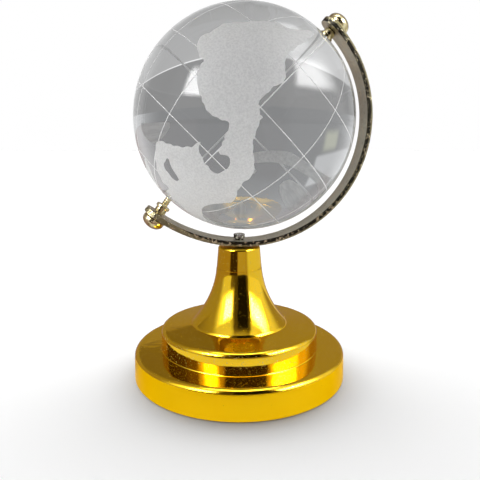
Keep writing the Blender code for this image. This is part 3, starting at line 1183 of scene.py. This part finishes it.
@dataclass(kw_only=True)
class PivotPin(Turned):
    """Pivot pin: threaded tip in the ball, flange, collar, and a shank through the strip.

    Its heights are measured from the middle of the strip's thickness, outwards.

    Attributes:
        tip: Depth of its tip.
        seat: Height at which its collar meets the strip.
        radius: Radius of the thread's ridges.
        thread_depth: Depth of the thread.
        thread_shape: Its shape, which is a plain V at 1 and has sharper ridges under 1.
        thread_start: Height of its start over the tip.
        pitch: Height of one turn of the thread.
        turn_steps: Steps of one turn of the thread.
        run_out: Height over which the thread runs out at the flange.
        tip_bevel: Height of the bevel at the tip.
        tip_narrowing: How much narrower the tip's end is.
        flange_radius: Radius of the flange.
        flange_height: Its height.
        flange_gap: Height between the blank's last ring and the flange.
        collar_radius: Radius of the collar.
        collar_height: Its height.
        collar_fillet: Size of the fillet under the collar.
        shank_radius: Radius of the shank.
        shank_reach: Height of the shank's end.
        shank_bevel: Size of the bevel at that end.
        soft: Radius of the rounded edges.
        soft_steps: Steps of each.
    """

    tip: float
    seat: float = -0.9 * MM
    radius: float = 0.8 * MM
    thread_depth: float = 0.16 * MM
    thread_shape: float = 0.8
    thread_start: float = 0.2 * MM
    pitch: float = 0.62 * MM
    turn_steps: int = 8
    run_out: float = 0.3 * MM
    tip_bevel: float = 0.25 * MM
    tip_narrowing: float = 0.352 * MM
    flange_radius: float = 1.65 * MM
    flange_height: float = 0.7 * MM
    flange_gap: float = 0.02 * MM
    collar_radius: float = 1.35 * MM
    collar_height: float = 1.2 * MM
    collar_fillet: float = 0.04 * MM
    shank_radius: float = 0.7 * MM
    shank_reach: float = 1.9 * MM
    shank_bevel: float = 0.1 * MM
    soft: float = 0.12 * MM
    soft_steps: int = 4

    def flange_start(self) -> float:
        """Height at which the flange begins and the thread ends."""
        return self.seat - self.collar_height - self.flange_height

    def profile(self) -> list[Point]:
        """Works out the blank, with rings close enough for the thread.

        Returns:
            The stations, from the tip outwards.
        """
        start, collar = self.flange_start(), self.seat - self.collar_height
        low = self.tip_bevel - self.tip
        rings = int((start + self.tip - self.run_out) / (self.pitch / self.turn_steps))
        spacing = (start - low - self.flange_gap) / rings
        soft, steps = self.soft, self.soft_steps
        out, brim = self.flange_radius - soft, (self.collar_radius - soft, self.seat - soft)
        return [
            (self.radius - self.tip_narrowing, -self.tip),
            *[(self.radius, low + spacing * k) for k in range(rings)],
            *arc_stations((out, start + soft), soft, -QUARTER, 0.0, steps),
            *arc_stations((out, collar - soft), soft, 0.0, QUARTER, steps),
            (self.collar_radius + self.collar_fillet, collar),
            (self.collar_radius, collar + self.collar_fillet),
            *arc_stations(brim, soft, 0.0, QUARTER, steps),
            (self.shank_radius, self.seat),
            (self.shank_radius, self.shank_reach - self.shank_bevel),
            (self.shank_radius - self.shank_bevel, self.shank_reach),
        ]

    def work(self, blank: Piece) -> None:
        """Presses a helical thread into the blank's tip.

        Args:
            blank: The blank, along its own Z.
        """
        low, high = self.thread_start - self.tip, self.flange_start() - self.flange_gap / 2
        for vertex in blank.data.vertices:
            x, y, z = vertex.co
            if low < z < high:
                phase = (z / self.pitch - math.atan2(y, x) / math.tau) % 1.0
                depth = self.thread_depth * abs(2 * phase - 1) ** self.thread_shape
                fade = min(1.0, (high - z) / self.run_out)
                share = (self.radius - depth * fade) / math.hypot(x, y)
                vertex.co = (x * share, y * share, z)


@dataclass(kw_only=True)
class CapNut(Turned):
    """Domed cap nut outside the strip, with a blind hole for the pin's shank.

    Its heights are measured from the middle of the strip's thickness, outwards.

    Attributes:
        seat: Height at which it meets the strip.
        radius: Its radius.
        rim: Height of its straight rim.
        dome: Height of the dome on the rim.
        edge: Radius of the rim's rounded edge.
        edge_steps: Steps of that edge.
        crown: Radius of the small flat on top of the dome.
        hole_radius: Radius of its hole.
        hole_depth: Depth of its hole.
        dome_steps: Stations of the dome.
    """

    sides: int = 72
    seat: float = 0.9 * MM
    radius: float = 2.65 * MM
    rim: float = 0.6 * MM
    dome: float = 1.8 * MM
    edge: float = 0.2 * MM
    edge_steps: int = 5
    crown: float = 0.03 * MM
    hole_radius: float = 1.05 * MM
    hole_depth: float = 1.3 * MM
    dome_steps: int = 22

    def profile(self) -> list[Point]:
        """Works out its outline.

        Returns:
            The stations, from the end of the hole, round the rim and over the dome.
        """
        shoulder, rounding = self.seat + self.rim, (self.radius - self.edge, self.seat + self.edge)
        turns = [QUARTER * k / self.dome_steps for k in range(self.dome_steps)]
        dome = [(self.radius * math.cos(t), shoulder + self.dome * math.sin(t)) for t in turns]
        return [
            (self.hole_radius, self.seat + self.hole_depth),
            (self.hole_radius, self.seat),
            *arc_stations(rounding, self.edge, -QUARTER, 0.0, self.edge_steps),
            *dome,
            (self.crown, shoulder + self.dome),
        ]


@dataclass(kw_only=True)
class StandScrew(Turned):
    """Small slotted screw that clamps the arc on the stand.

    Attributes:
        seat: Height of the underside of its head.
        head_radius: Radius of the head.
        head_height: Height of the head.
        crown: Radius of the rounded edge on top of it.
        rim: Radius of the edge under it.
        edge: Width of the slot's broken edges.
        slot_width: Width of its slot.
        slot_depth: Depth of its slot.
        slot_turn: Angle of its slot from +X.
        shank_radius: Radius of the shank.
        length: Length from the head's top to the tip.
        tip_radius: Radius of the tip's end.
        tip_height: Height of the tip's taper.
    """

    name: str = "arc_screw"
    node: str = "stand_screw"
    slot: Slot = Slot.STEEL
    sides: int = 56
    crease: float = 35.0
    seat: float
    head_radius: float = 1.35 * MM
    head_height: float = 1.05 * MM
    crown: float = 0.2625 * MM
    rim: float = 0.08 * MM
    edge: float = 0.04 * MM
    slot_width: float = 0.4 * MM
    slot_depth: float = 0.35 * MM
    slot_turn: float = math.radians(35.0)
    shank_radius: float = 0.75 * MM
    length: float = 5.2 * MM
    tip_radius: float = 0.3 * MM
    tip_height: float = 0.4 * MM

    def profile(self) -> list[Point]:
        """Works out its outline.

        Returns:
            The stations, from the tip to the top of the head.
        """
        top = self.seat + self.head_height
        tip = top - self.length
        rim = (self.head_radius - self.rim, self.seat + self.rim)
        crown = (self.head_radius - self.crown, top - self.crown)
        return [
            (self.tip_radius, tip),
            (self.shank_radius, tip + self.tip_height),
            (self.shank_radius, self.seat),
            *arc_stations(rim, self.rim, -QUARTER, 0.0, 3),
            *arc_stations(crown, self.crown, 0.0, QUARTER, 7),
        ]

    def work(self, blank: Piece) -> None:
        """Cuts the slot and breaks the edges.

        Args:
            blank: The turned screw.
        """
        cutter = Workbench.start("slot", bpy.ops.mesh.primitive_cube_add, size=1.0)
        size = Matrix.Diagonal((4 * self.head_radius, self.slot_width, 2 * self.slot_depth, 1.0))
        top = Matrix.Translation((0.0, 0.0, self.seat + self.head_height))
        Workbench.settle(cutter, top @ Matrix.Rotation(self.slot_turn, 4, "Z") @ size)
        Workbench.cut(blank, cutter)
        Workbench.bevel(blank, width=self.edge, segments=2, angle=60.0)


class WorldMap:
    """Which places of the engraved map are land."""

    def __init__(self) -> None:
        """Takes up the outlines, with their corners cut a little."""
        self.lands = [self._soften(points) for points in LANDS.values()]
        self.waters = [self._soften(points) for points in WATERS.values()]

    @staticmethod
    def _soften(points: Sequence[Point]) -> np.ndarray:
        """Cuts the corners of an outline twice.

        Args:
            points: Its corners.

        Returns:
            The closed outline's corners, as rows.
        """
        line = np.array(points, dtype=float)
        for _ in range(2):
            after = np.roll(line, -1, axis=0)
            cuts = [0.8 * line + 0.2 * after, 0.2 * line + 0.8 * after]
            line = np.stack(cuts, axis=1).reshape(-1, 2)
        return line

    @staticmethod
    def _inside(outline: np.ndarray, east: np.ndarray, north: np.ndarray) -> np.ndarray:
        """Even-odd test of places against one outline.

        Args:
            outline: Its corners.
            east: Degrees east of the places.
            north: Degrees north of the places.

        Returns:
            True where a place is inside.
        """
        found = np.zeros(east.shape, dtype=bool)
        low, high = outline.min(axis=0), outline.max(axis=0)
        near = (east >= low[0]) & (east <= high[0]) & (north >= low[1]) & (north <= high[1])
        x, y = east[near], north[near]
        odd = np.zeros(x.shape, dtype=bool)
        for (x0, y0), (x1, y1) in zip(outline, np.roll(outline, -1, axis=0)):
            if y0 != y1:
                across = (y0 > y) != (y1 > y)
                odd ^= across & (x < (x1 - x0) * (y - y0) / (y1 - y0) + x0)
        found[near] = odd
        return found

    def is_land(self, east: np.ndarray, north: np.ndarray) -> np.ndarray:
        """Tests places against the whole map.

        Args:
            east: Degrees east, of any turn.
            north: Degrees north.

        Returns:
            True on land.
        """
        turn = half_turn(east)
        land = np.zeros(east.shape, dtype=bool)
        for outline in self.lands:
            land |= self._inside(outline, turn, north) | self._inside(outline, turn + 360.0, north)
        for outline in self.waters:
            land &= ~self._inside(outline, turn, north)
        return land


def half_turn(degrees: np.ndarray) -> np.ndarray:
    """The same angles, from -180 up to 180 degrees."""
    return (degrees + 180.0) % 360.0 - 180.0


OFF_GRID = -1


@dataclass
class Corners:
    """Where the ball's vertices lie on its grid and map.

    Attributes:
        row: Ring of each vertex, which is OFF_GRID in the two holes.
        column: Its column.
        east: Its degrees east.
        north: Its degrees north.
        shore: Its Shore value.
    """

    row: np.ndarray
    column: np.ndarray
    east: np.ndarray
    north: np.ndarray
    shore: np.ndarray


@dataclass
class GlassBall:
    """The solid glass ball with its engraved map, turned about its own axis.

    Attributes:
        centre: Its centre.
        radius: Its radius.
        hole_radius: Radius of the blind hole at each pole.
        hole_depth: Depth of each hole.
        front_meridian: Longitude, in degrees east, that faces the camera's side.
        line_width: Width of the engraved grid lines.
        line_end: Latitude at which the meridians end.
        widest_line: Widest half of a meridian near the poles, in degrees.
        parallels: Latitudes of the engraved parallels.
        cells: Rows of faces between the parallels.
        sectors: Number of meridians.
        sector_columns: Columns of faces from one meridian to the next.
        halvings: How often the distance to a coast is halved to find it.
    """

    centre: Vector
    radius: float = 24.99 * MM
    hole_radius: float = 1.35 * MM
    hole_depth: float = 3.2 * MM
    front_meridian: float = -90.4
    line_width: float = 0.2 * MM
    line_end: float = 84.0
    widest_line: float = 6.0
    parallels: tuple[float, ...] = (58.0, 26.0, -3.5, -29.5, -60.0)
    cells: tuple[int, ...] = (30, 34, 31, 28, 32, 28)
    sectors: int = 12
    sector_columns: int = 33
    halvings: int = 14

    def rows(self) -> tuple[np.ndarray, np.ndarray]:
        """Divides the ball into rings between the rims of its two holes.

        Returns:
            Latitudes of the rings, and which rows of faces between them are parallels.
        """
        rim = 90.0 - math.degrees(math.asin(self.hole_radius / self.radius))
        half = math.degrees(self.line_width / 2 / self.radius)
        bounds = [rim, *self.parallels, -rim]
        latitudes: list[float] = []
        lines: list[bool] = []
        for index, count in enumerate(self.cells):
            top = bounds[index] - (half if index else 0.0)
            bottom = bounds[index + 1] + (half if index + 1 < len(self.cells) else 0.0)
            latitudes += [top + (bottom - top) * k / count for k in range(count + 1)]
            lines += [False] * count + [True]
        return np.array(latitudes), np.array(lines[:-1])

    def grid(self) -> tuple[np.ndarray, np.ndarray, np.ndarray]:
        """Lays the grid of faces on the map.

        Returns:
            Degrees east and north of every ring's corners, and which rows are parallels.
        """
        latitudes, lines = self.rows()
        column = np.arange(self.sectors * self.sector_columns)
        sector, step = column // self.sector_columns, column % self.sector_columns
        reach = self.radius * np.cos(np.radians(latitudes))[:, None]
        half = np.minimum(np.degrees(self.line_width / 2 / reach), self.widest_line)
        width = 360.0 / self.sectors
        inner = half + (width - 2 * half) * (step - 1) / (self.sector_columns - 1)
        east = width * sector + np.where(step == 0, -half, inner)
        return east, np.repeat(latitudes[:, None], len(column), axis=1), lines

    def _snap(
        self, world: WorldMap, east: np.ndarray, north: np.ndarray
    ) -> tuple[np.ndarray, np.ndarray, np.ndarray]:
        """Moves the grid's corners that are nearest to a coast onto it.

        Args:
            world: The map.
            east: Degrees east of the corners, ring by ring.
            north: Degrees north of the corners.

        Returns:
            The moved degrees east and north and the Shore value of each corner, in one row.
        """
        index = np.arange(east.size).reshape(east.shape)
        across = np.stack([index, np.roll(index, -1, axis=1)], axis=-1).reshape(-1, 2)
        down = np.stack([index[:-1], index[1:]], axis=-1).reshape(-1, 2)
        edges = np.concatenate([across, down])
        east, north = east.ravel(), north.ravel()
        land = world.is_land(east, north)
        first, second = edges[land[edges[:, 0]] != land[edges[:, 1]]].T
        turn, rise = half_turn(east[second] - east[first]), north[second] - north[first]
        low, high = np.zeros(len(first)), np.ones(len(first))
        for _ in range(self.halvings):
            middle = (low + high) / 2
            found = world.is_land(east[first] + turn * middle, north[first] + rise * middle)
            same = found == land[first]
            low, high = np.where(same, middle, low), np.where(same, high, middle)
        share = (low + high) / 2
        corner = np.where(share < 0.5, first, second)
        length = np.hypot(turn * np.cos(np.radians(north[first])), rise)
        order = np.argsort(-np.minimum(share, 1 - share) * length, kind="stable")
        new_east, new_north = east[first] + turn * share, north[first] + rise * share
        east, north = east.copy(), north.copy()
        shore = np.where(land, int(Shore.LAND), int(Shore.WATER))
        for k in order:
            east[corner[k]], north[corner[k]] = new_east[k], new_north[k]
            shore[corner[k]] = Shore.COAST
        return east, north, shore

    def build(self, glass: Material, frosted: Material, line: Material) -> Piece:
        """Shapes, engraves and dresses the ball.

        Args:
            glass: Finish of the clear glass.
            frosted: Finish of the land.
            line: Finish of the grid lines.

        Returns:
            The piece.
        """
        world = WorldMap()
        east, north, parallel_rows = self.grid()
        rings, columns = east.shape
        sphere = bpy.ops.mesh.primitive_uv_sphere_add
        size = {"segments": columns, "ring_count": rings + 3, "radius": 1.0}
        piece = Workbench.start("engraved_ball", sphere, **size)
        corners = self._shape(piece, rings, columns, *self._snap(world, east, north))
        self._split_coast_faces(piece, corners.shore)
        self._zone_faces(piece, world, corners, parallel_rows)

        lean = math.sqrt(0.5)
        facing = Matrix(((0.0, -lean, -lean), (-1.0, 0.0, 0.0), (0.0, lean, -lean)))
        Workbench.settle(piece, Matrix.Translation(self.centre) @ facing.to_4x4())
        zones = np.empty(len(piece.data.polygons), dtype=np.int32)
        piece.data.polygons.foreach_get("material_index", zones)
        Workbench.smooth(piece, angle=30.0)
        Workbench.dress(piece, [glass, frosted, line], Body.BALL, Slot.GLASS, "glass_ball")
        piece.data.polygons.foreach_set("material_index", zones)
        piece.data.update()
        self._polish(piece)
        return piece

    def _shape(
        self,
        piece: Piece,
        rings: int,
        columns: int,
        east: np.ndarray,
        north: np.ndarray,
        shore: np.ndarray,
    ) -> Corners:
        """Moves a plain sphere's vertices to their places on the map and in the two holes.

        The sphere has three rings more than the grid: rings 0 and the last are the middles of the
        hole floors, and rings 1 and the last but one are the edges of those floors.

        Args:
            piece: The sphere.
            rings: Rings of the grid.
            columns: Columns of the grid.
            east: Degrees east of the grid's corners.
            north: Degrees north of them.
            shore: Shore value of each.

        Returns:
            What each vertex is on the map.
        """
        mesh = piece.data
        spots = np.empty(len(mesh.vertices) * 3)
        mesh.vertices.foreach_get("co", spots)
        spots = spots.reshape(-1, 3)
        down = np.degrees(np.arccos(np.clip(spots[:, 2], -1, 1)))
        around = np.degrees(np.arctan2(spots[:, 1], spots[:, 0]))
        ring = np.rint(down / 180.0 * (rings + 3)).astype(int)
        column = np.rint(around / 360.0 * columns).astype(int) % columns
        corner = np.clip(ring - 2, 0, rings - 1) * columns + column
        on_ball = (ring >= 2) & (ring <= rings + 1)
        pole = (ring == 0) | (ring == rings + 3)
        turn, rise = np.radians(east[corner] - self.front_meridian), np.radians(north[corner])
        reach = np.where(on_ball, self.radius * np.cos(rise), np.where(pole, 0.0, self.hole_radius))
        floor = np.where(ring <= 1, 1.0, -1.0) * (self.radius - self.hole_depth)
        spots[:, 0] = reach * np.cos(turn)
        spots[:, 1] = reach * np.sin(turn)
        spots[:, 2] = np.where(on_ball, self.radius * np.sin(rise), floor)
        mesh.vertices.foreach_set("co", spots.ravel())
        mesh.update()
        return Corners(
            row=np.where(on_ball, ring - 2, OFF_GRID),
            column=column,
            east=east[corner],
            north=north[corner],
            shore=np.where(on_ball, shore[corner], int(Shore.WATER)),
        )

    def _polish(self, piece: Piece) -> None:
        """Gives the ball's outside the exact normals of a sphere.

        Args:
            piece: The ball.
        """
        mesh = piece.data
        normals = [tuple(corner.vector) for corner in mesh.corner_normals]
        for face in mesh.polygons:
            arms = [mesh.vertices[vertex].co - self.centre for vertex in face.vertices]
            if min(arm.length for arm in arms) > 0.999 * self.radius:
                for loop, arm in zip(face.loop_indices, arms):
                    normals[loop] = tuple(arm.normalized())
        mesh.normals_split_custom_set(normals)

    @staticmethod
    def _split_coast_faces(piece: Piece, shore: np.ndarray) -> None:
        """Splits the faces that a coast crosses from corner to corner.

        Args:
            piece: The ball.
            shore: Shore value of each vertex.
        """
        for corner, method in ((0, "FIXED"), (1, "FIXED_ALTERNATE")):
            Workbench.only(piece)
            Workbench.edit_faces("DESELECT")
            bpy.ops.object.mode_set(mode="OBJECT")
            for face in piece.data.polygons:
                kinds = [shore[vertex] for vertex in face.vertices]
                mixed = Shore.WATER in kinds and Shore.LAND in kinds
                ends = kinds[corner::2]
                face.select = len(kinds) == 4 and mixed and ends == [Shore.COAST] * 2
            bpy.ops.object.mode_set(mode="EDIT")
            bpy.ops.mesh.quads_convert_to_tris(quad_method=method)
            bpy.ops.object.mode_set(mode="OBJECT")

    def _zone_faces(
        self, piece: Piece, world: WorldMap, corners: Corners, parallel_rows: np.ndarray
    ) -> None:
        """Sorts the ball's faces into clear glass, land and grid lines.

        Args:
            piece: The ball.
            world: The map.
            corners: What each vertex is on the map.
            parallel_rows: Which rows of faces are parallels.
        """
        mesh = piece.data
        zones = np.full(len(mesh.polygons), int(Zone.CLEAR), dtype=np.int32)
        on_coast: list[tuple[int, float, float]] = []
        for face in mesh.polygons:
            found = list(face.vertices)
            kinds = set(corners.shore[found].tolist())
            row = corners.row[found].min()
            if row == OFF_GRID:
                continue
            if Shore.LAND in kinds:
                zones[face.index] = Zone.LAND
                continue
            east, north = corners.east[found], corners.north[found].mean()
            if kinds == {Shore.COAST}:
                on_coast.append((face.index, east[0] + half_turn(east - east[0]).mean(), north))
            steps = set((corners.column[found] % self.sector_columns).tolist())
            if abs(north) <= self.line_end and (steps <= {0, 1} or parallel_rows[row]):
                zones[face.index] = Zone.LINE
        index, east, north = np.array(on_coast).T
        zones[index[world.is_land(east, north)].astype(int)] = Zone.LAND
        mesh.polygons.foreach_set("material_index", zones)
        mesh.update()


def azimuth_of(x: Socket, y: Socket) -> Socket:
    """Angle in degrees from the camera's side, towards +X."""
    return x.nodes.compute("ARCTAN2", x, 0.0 - y) * math.degrees(1.0)


def on_dull(nodes: NodeBench) -> Socket:
    """1 for light that goes on to a dull surface, otherwise 0."""
    return nodes.ray("Diffuse Depth").at_most(1.0)


def mirrored_light(nodes: NodeBench, level: Socket, dim: Colour = WHITE) -> Socket:
    """Light that metal or polish mirrors, most of which is kept from dull surfaces.

    Args:
        nodes: Bench of the tree.
        level: Its brightness.
        dim: Its tint where it is dim.

    Returns:
        The light's colour.
    """
    kept_back = 0.9 * on_dull(nodes)
    return nodes.scaled(nodes.blend(level.step(0.1, 0.7), dim, WHITE), level * (1.0 - kept_back))


@dataclass
class Tent:
    """Soft studio round the globe, as each kind of ray sees it by its direction.

    Attributes:
        nodes: Bench of the world's tree.
        direction: Direction of the ray.
        windows: Brightness of the windows in metal.
        left_window: Brightness of the left window in the polished ball.
        right_window: Brightness of the right window in it.
        lamp_level: Brightness of the lamp.
    """

    nodes: NodeBench
    direction: Socket
    windows: float = 20.0
    left_window: float = 16.0
    right_window: float = 12.0
    lamp_level: float = 4.0

    def __post_init__(self) -> None:
        """Works out the direction's parts, its azimuth and its height."""
        self.x, self.y, self.z = self.nodes.axes(self.direction)
        self.azimuth = azimuth_of(self.x, self.y)
        self.height = self.nodes.compute("ARCSINE", self.z) * math.degrees(1.0)

    def walls(self, left: float) -> Socket:
        """Walls of the studio, paler to the right and, by a given brightness, to the left."""
        right_wall, left_wall = self.azimuth.band(38, 112, 12), self.azimuth.band(-84, -30, 10)
        return 0.34 + 0.6 * right_wall + left * left_wall

    def lamp(self) -> Socket:
        """Lamp overhead."""
        return self.lamp_level * self.height.step(66, 72) * self.azimuth.band(-100, 100, 10)

    def on_dull_surfaces(self) -> Socket:
        """Light that falls on dull surfaces, from behind, from beside and low from the front.

        Returns:
            The light's colour.
        """
        behind = (0.82 * self.y + 0.57 * self.z).at_least(0.0) ** 2
        beside = (0.85 * abs(self.x) + 0.52 * self.y).at_least(0.0) ** 4
        front = (0.0 - self.y).step(0.1, 0.5) * self.z.step(0.65, 0.35)
        return self.nodes.scaled(WHITE, 0.03 + 2.04 * behind + 3.7 * beside + 0.28 * front)

    def in_metal(self) -> Socket:
        """What metal mirrors: two windows, a lamp overhead and a dark, ragged camera side.

        Metal that is seen in metal has dimmer windows and walls, by its own mask.

        Returns:
            The light's colour.
        """
        azimuth, height = self.azimuth, self.height
        again = self.nodes.ray("Glossy Depth").step(1.2, 1.8)
        behind = azimuth.step(-95, -140) * height.step(20.8, 22.4)
        level = self.walls(0.45) - 0.14 * behind + 0.12 * height.step(50, 60)
        level = level * (1.0 - 0.8 * again * azimuth.band(-132, -62, 5))

        rags = self.nodes.noise(self.direction, per_mm=9.0 * MM, octaves=3.0, fine=0.6)
        ragged = azimuth + 12.0 * (rags - 0.5)
        low_left = height.step(16, 10) * azimuth.band(-42, -20, 3)
        dark = (ragged.band(-24, 37, 3) + low_left).at_most(1.0) * height.step(66, 57)
        core = ragged.band(-10, 29, 3) * height.step(61, 53) * (1.0 - again)
        level = level * (1.0 - 0.76 * dark) * (1.0 - 0.87 * core) * (1.0 - 0.58 * again * dark)

        left = azimuth.band(-59, -33, 4) * height.step(15, 27) * height.step(46, 40)
        left_again = 0.4 * azimuth.band(-50, -40, 9) * height.step(10, 18)
        left = left + again * (left_again - left)
        halo = azimuth.step(-84, -62) * azimuth.step(-26, -31)
        halo = halo * height.step(12, 22) * height.step(48, 44) * (1.0 - again)
        slant = height - 0.2 * azimuth
        right = azimuth.step(37, 44) * azimuth.step(94, 66) * slant.step(5, 20) * slant.step(37, 28)
        right = right * (1.0 - again * azimuth.step(58, 44))
        glow = azimuth.band(43, 88, 5) * height.step(14, 20) * height.step(52, 46)
        level = level + self.windows * (left + right) + 1.2 * halo + 1.5 * glow + self.lamp()
        return mirrored_light(self.nodes, level, dim=(1.0, 0.82, 0.74))

    def in_polish(self) -> Socket:
        """What the polished ball mirrors: its curve takes in more of the two windows.

        Returns:
            The light's colour.
        """
        azimuth, height = self.azimuth, self.height
        back = 0.5 * azimuth.step(-118, -132) + 0.3 * azimuth.step(118, 132)
        left = azimuth.band(-68, -40, 4) * height.step(17, 22) * height.step(46, 36)
        sill = (height + 0.18 * (azimuth - 55.0)).step(23, 30)
        jamb = (azimuth - 0.6 * (height - 25.0)).step(44, 55)
        lintel = (height + 0.3 * (azimuth - 70.0)).step(52, 38)
        right = jamb * azimuth.step(112, 74) * sill * lintel
        skylight = azimuth.band(66, 132, 6) * height.band(50, 68, 4)
        level = self.walls(0.3) + back * height.step(40, 20) + 2.5 * skylight + self.lamp()
        level = level + self.left_window * left + self.right_window * right
        return mirrored_light(self.nodes, level)

    def through_glass(self) -> Socket:
        """What is seen through the glass: a pale room, a window's edge and a small frame.

        Returns:
            The light's colour.
        """
        azimuth, height = self.azimuth, self.height
        level = 0.24 + 0.46 * abs(azimuth).step(150, 108) + 0.08 * height.step(20, 45)
        level = level + 0.27 * azimuth.band(-159, -118, 1) * height.band(14, 27, 1)
        level = level + on_dull(self.nodes) * (0.82 - level)
        small_frame = azimuth.band(-156, -146, 1.8) * height.band(6, 12.5, 1.8)
        room = self.nodes.scaled((0.985, 1.0, 1.02), level)
        return self.nodes.blend(small_frame, room, (0.44, 0.45, 0.38))

    def colour(self) -> Socket:
        """The tent as every kind of ray sees it, with plain white behind the globe.

        Returns:
            The colour.
        """
        colour = self.on_dull_surfaces()
        for kind, seen in (
            ("Is Glossy Ray", self.in_metal()),
            ("Is Singular Ray", self.in_polish()),
            ("Is Transmission Ray", self.through_glass()),
            ("Is Camera Ray", WHITE),
        ):
            colour = self.nodes.blend(self.nodes.ray(kind), colour, seen)
        return colour


@dataclass
class Studio:
    """Pale floor, soft light and the camera.

    Attributes:
        eye: Place of the camera.
        heading: Turn of the camera's view from +Y towards +X.
        down: How far it looks down.
        lens: Its lens, for a sensor 36 mm wide.
        floor_size: Side of the floor.
    """

    eye: Vector
    heading: float = math.radians(4.0)
    down: float = math.radians(10.6)
    lens: float = 38.625
    floor_size: float = 8.0

    def build_camera(self) -> None:
        """Sets up the camera."""
        camera = bpy.data.cameras.new("camera")
        camera.lens, camera.sensor_width = self.lens, 36.0
        camera.clip_start, camera.clip_end = 0.001, 100.0
        holder = bpy.data.objects.new("camera", camera)
        holder.location = self.eye
        holder.rotation_euler = (QUARTER - self.down, 0.0, -self.heading)
        bpy.context.collection.objects.link(holder)
        bpy.context.scene.camera = holder

    def build_floor(self) -> None:
        """Lays the pale floor, which glows with painted light and shade of a larger table
        for rays from metal and glass.
        """
        below = (0.0, 0.0, -0.02 * MM)
        plane = bpy.ops.mesh.primitive_plane_add
        floor = Workbench.start("floor", plane, size=self.floor_size, location=below)
        Workbench.settle(floor)
        material = bpy.data.materials.new("pale_floor")
        material.use_nodes = True
        nodes = NodeBench(material.node_tree)
        place = nodes.place()
        tone = nodes.noise(place, per_mm=0.01, octaves=2.0, fine=0.5)
        pale = nodes.blend(tone, (0.95, 0.95, 0.95), (0.965, 0.965, 0.965))
        diffuse = nodes.add("ShaderNodeBsdfDiffuse", {}, {"Color": pale}, "BSDF")
        x, y, _ = nodes.axes(nodes.stretched(place, (1 / MM, 1 / MM, 1 / MM)))
        reach = (x * x + y * y) ** 0.5
        through = nodes.ray("Is Transmission Ray")
        # For rays from metal and glass, the floor glows with painted table light and shade.
        in_metal = self._painted_table_light_in_metal(nodes, azimuth_of(x, y), reach)
        painted_table_light = nodes.blend(through, in_metal, self._painted_table_light_in_glass(nodes, x, reach))
        glow = nodes.add("ShaderNodeEmission", {}, {"Color": painted_table_light}, "Emission")
        mirrored = through.at_least(nodes.ray("Is Glossy Ray"))
        shader = nodes.add("ShaderNodeMixShader", {}, {0: mirrored, 1: diffuse, 2: glow})
        nodes.finish(shader, "ShaderNodeOutputMaterial")
        floor.data.materials.append(material)

    @staticmethod
    def _painted_table_light_in_metal(nodes: NodeBench, azimuth: Socket, reach: Socket) -> Socket:
        """Painted light and shade of a table, which the floor glows with for rays from metal:
        bright close by, dark beyond, and pale again far off.

        Args:
            nodes: Bench of the floor's tree.
            azimuth: Degrees from the camera's side.
            reach: Millimetres from the globe's axis.

        Returns:
            The light's colour.
        """
        close = 0.86 - 0.5 * abs(azimuth).step(80, 120)
        middle = 0.3 + 0.5 * azimuth.band(38, 98, 8) + 0.4 * azimuth.band(-75, -45, 8)
        far = 0.36 + 0.4 * azimuth.band(38, 150, 10) + 0.1 * azimuth.band(-12, 30, 3)
        far = far * (1.0 - 0.88 * azimuth.band(-50, -12, 4))
        level = close + (middle - close) * reach.step(42, 58)
        level = level + (far - level) * reach.step(85, 150)
        return mirrored_light(nodes, level, dim=(1.0, 0.6, 0.5))

    @staticmethod
    def _painted_table_light_in_glass(nodes: NodeBench, x: Socket, reach: Socket) -> Socket:
        """Painted light and shade of a table, which the floor glows with for rays through the glass,
        with a pale far edge.

        Args:
            nodes: Bench of the floor's tree.
            x: Millimetres towards +X.
            reach: Millimetres from the globe's axis.

        Returns:
            The light's colour.
        """
        level = 0.44 + 0.2 * x.step(10, -60)
        level = level + (0.26 - level) * reach.step(262, 276)
        level = level + 0.6 * reach.band(266, 274, 3) * x.step(0, 20)
        level = level + on_dull(nodes) * (0.95 - level)
        return nodes.scaled((1.0, 1.0, 1.005), level)

    def build_world(self) -> None:
        """Lights the scene from the tent."""
        world = bpy.data.worlds.new("tent")
        bpy.context.scene.world = world
        world.use_nodes = True
        world.cycles.sampling_method = "NONE"
        nodes = NodeBench(world.node_tree)
        tent = Tent(nodes, nodes.add("ShaderNodeTexCoord", output="Generated"))
        light = nodes.add("ShaderNodeBackground", {}, {"Color": tent.colour()})
        nodes.finish(light, "ShaderNodeOutputWorld")


def main() -> None:
    """Builds the studio and every piece."""
    logging.basicConfig(level=logging.INFO, format="%(name)s: %(message)s")
    bpy.context.scene.view_settings.view_transform = "Standard"
    studio = Studio(eye=Vector((-8.24, -120.7, 55.5)) * MM)
    studio.build_camera()
    studio.build_floor()
    studio.build_world()

    ball_centre = Vector((1.2, 0.0, 60.8)) * MM
    arc = Arc(ball_centre)
    upper, lower = arc.upper_mount(), arc.lower_mount()
    screw_reach = abs(arc.opened_centre().x) + StandScrew.head_radius
    screw_seat = arc.face_height(screw_reach, -1.0) + 0.3 * MM
    # The arc's painted highlight sits at its lower hole.
    plating = ArcPlating("arc_plating", painted_highlight_centre=tuple(lower.translation)).make()
    edge = ArcEdge("arc_edge", centre=tuple(ball_centre)).make()
    gold, pale = GoldPlate("gold_plate").make(), PaleGold("pale_gold_plate").make()
    glass, frosted = ClearGlass("clear_glass").make(), FrostedGlass("frosted_land").make()
    pieces = [
        Stand().build(gold),
        arc.build(plating, edge),
        StandScrew(seat=screw_seat).build(ScrewSteel("screw_steel").make()),
        PivotPin(name="upper_pin", node="upper_pivot_pin", mount=upper, tip=6.0 * MM).build(pale),
        PivotPin(name="lower_pin", node="lower_pivot_pin", mount=lower, tip=7.9 * MM).build(pale),
        CapNut(name="upper_nut", node="upper_cap_nut", mount=upper).build(pale),
        CapNut(name="lower_nut", node="lower_cap_nut", mount=lower).build(pale),
        GlassBall(ball_centre).build(glass, frosted, EngravedLine("engraved_line").make()),
    ]
    for piece in pieces:
        LOG.info("%s: %d vertices", piece.name, len(piece.data.vertices))
    Workbench.clear()


if __name__ == "__main__":
    main()
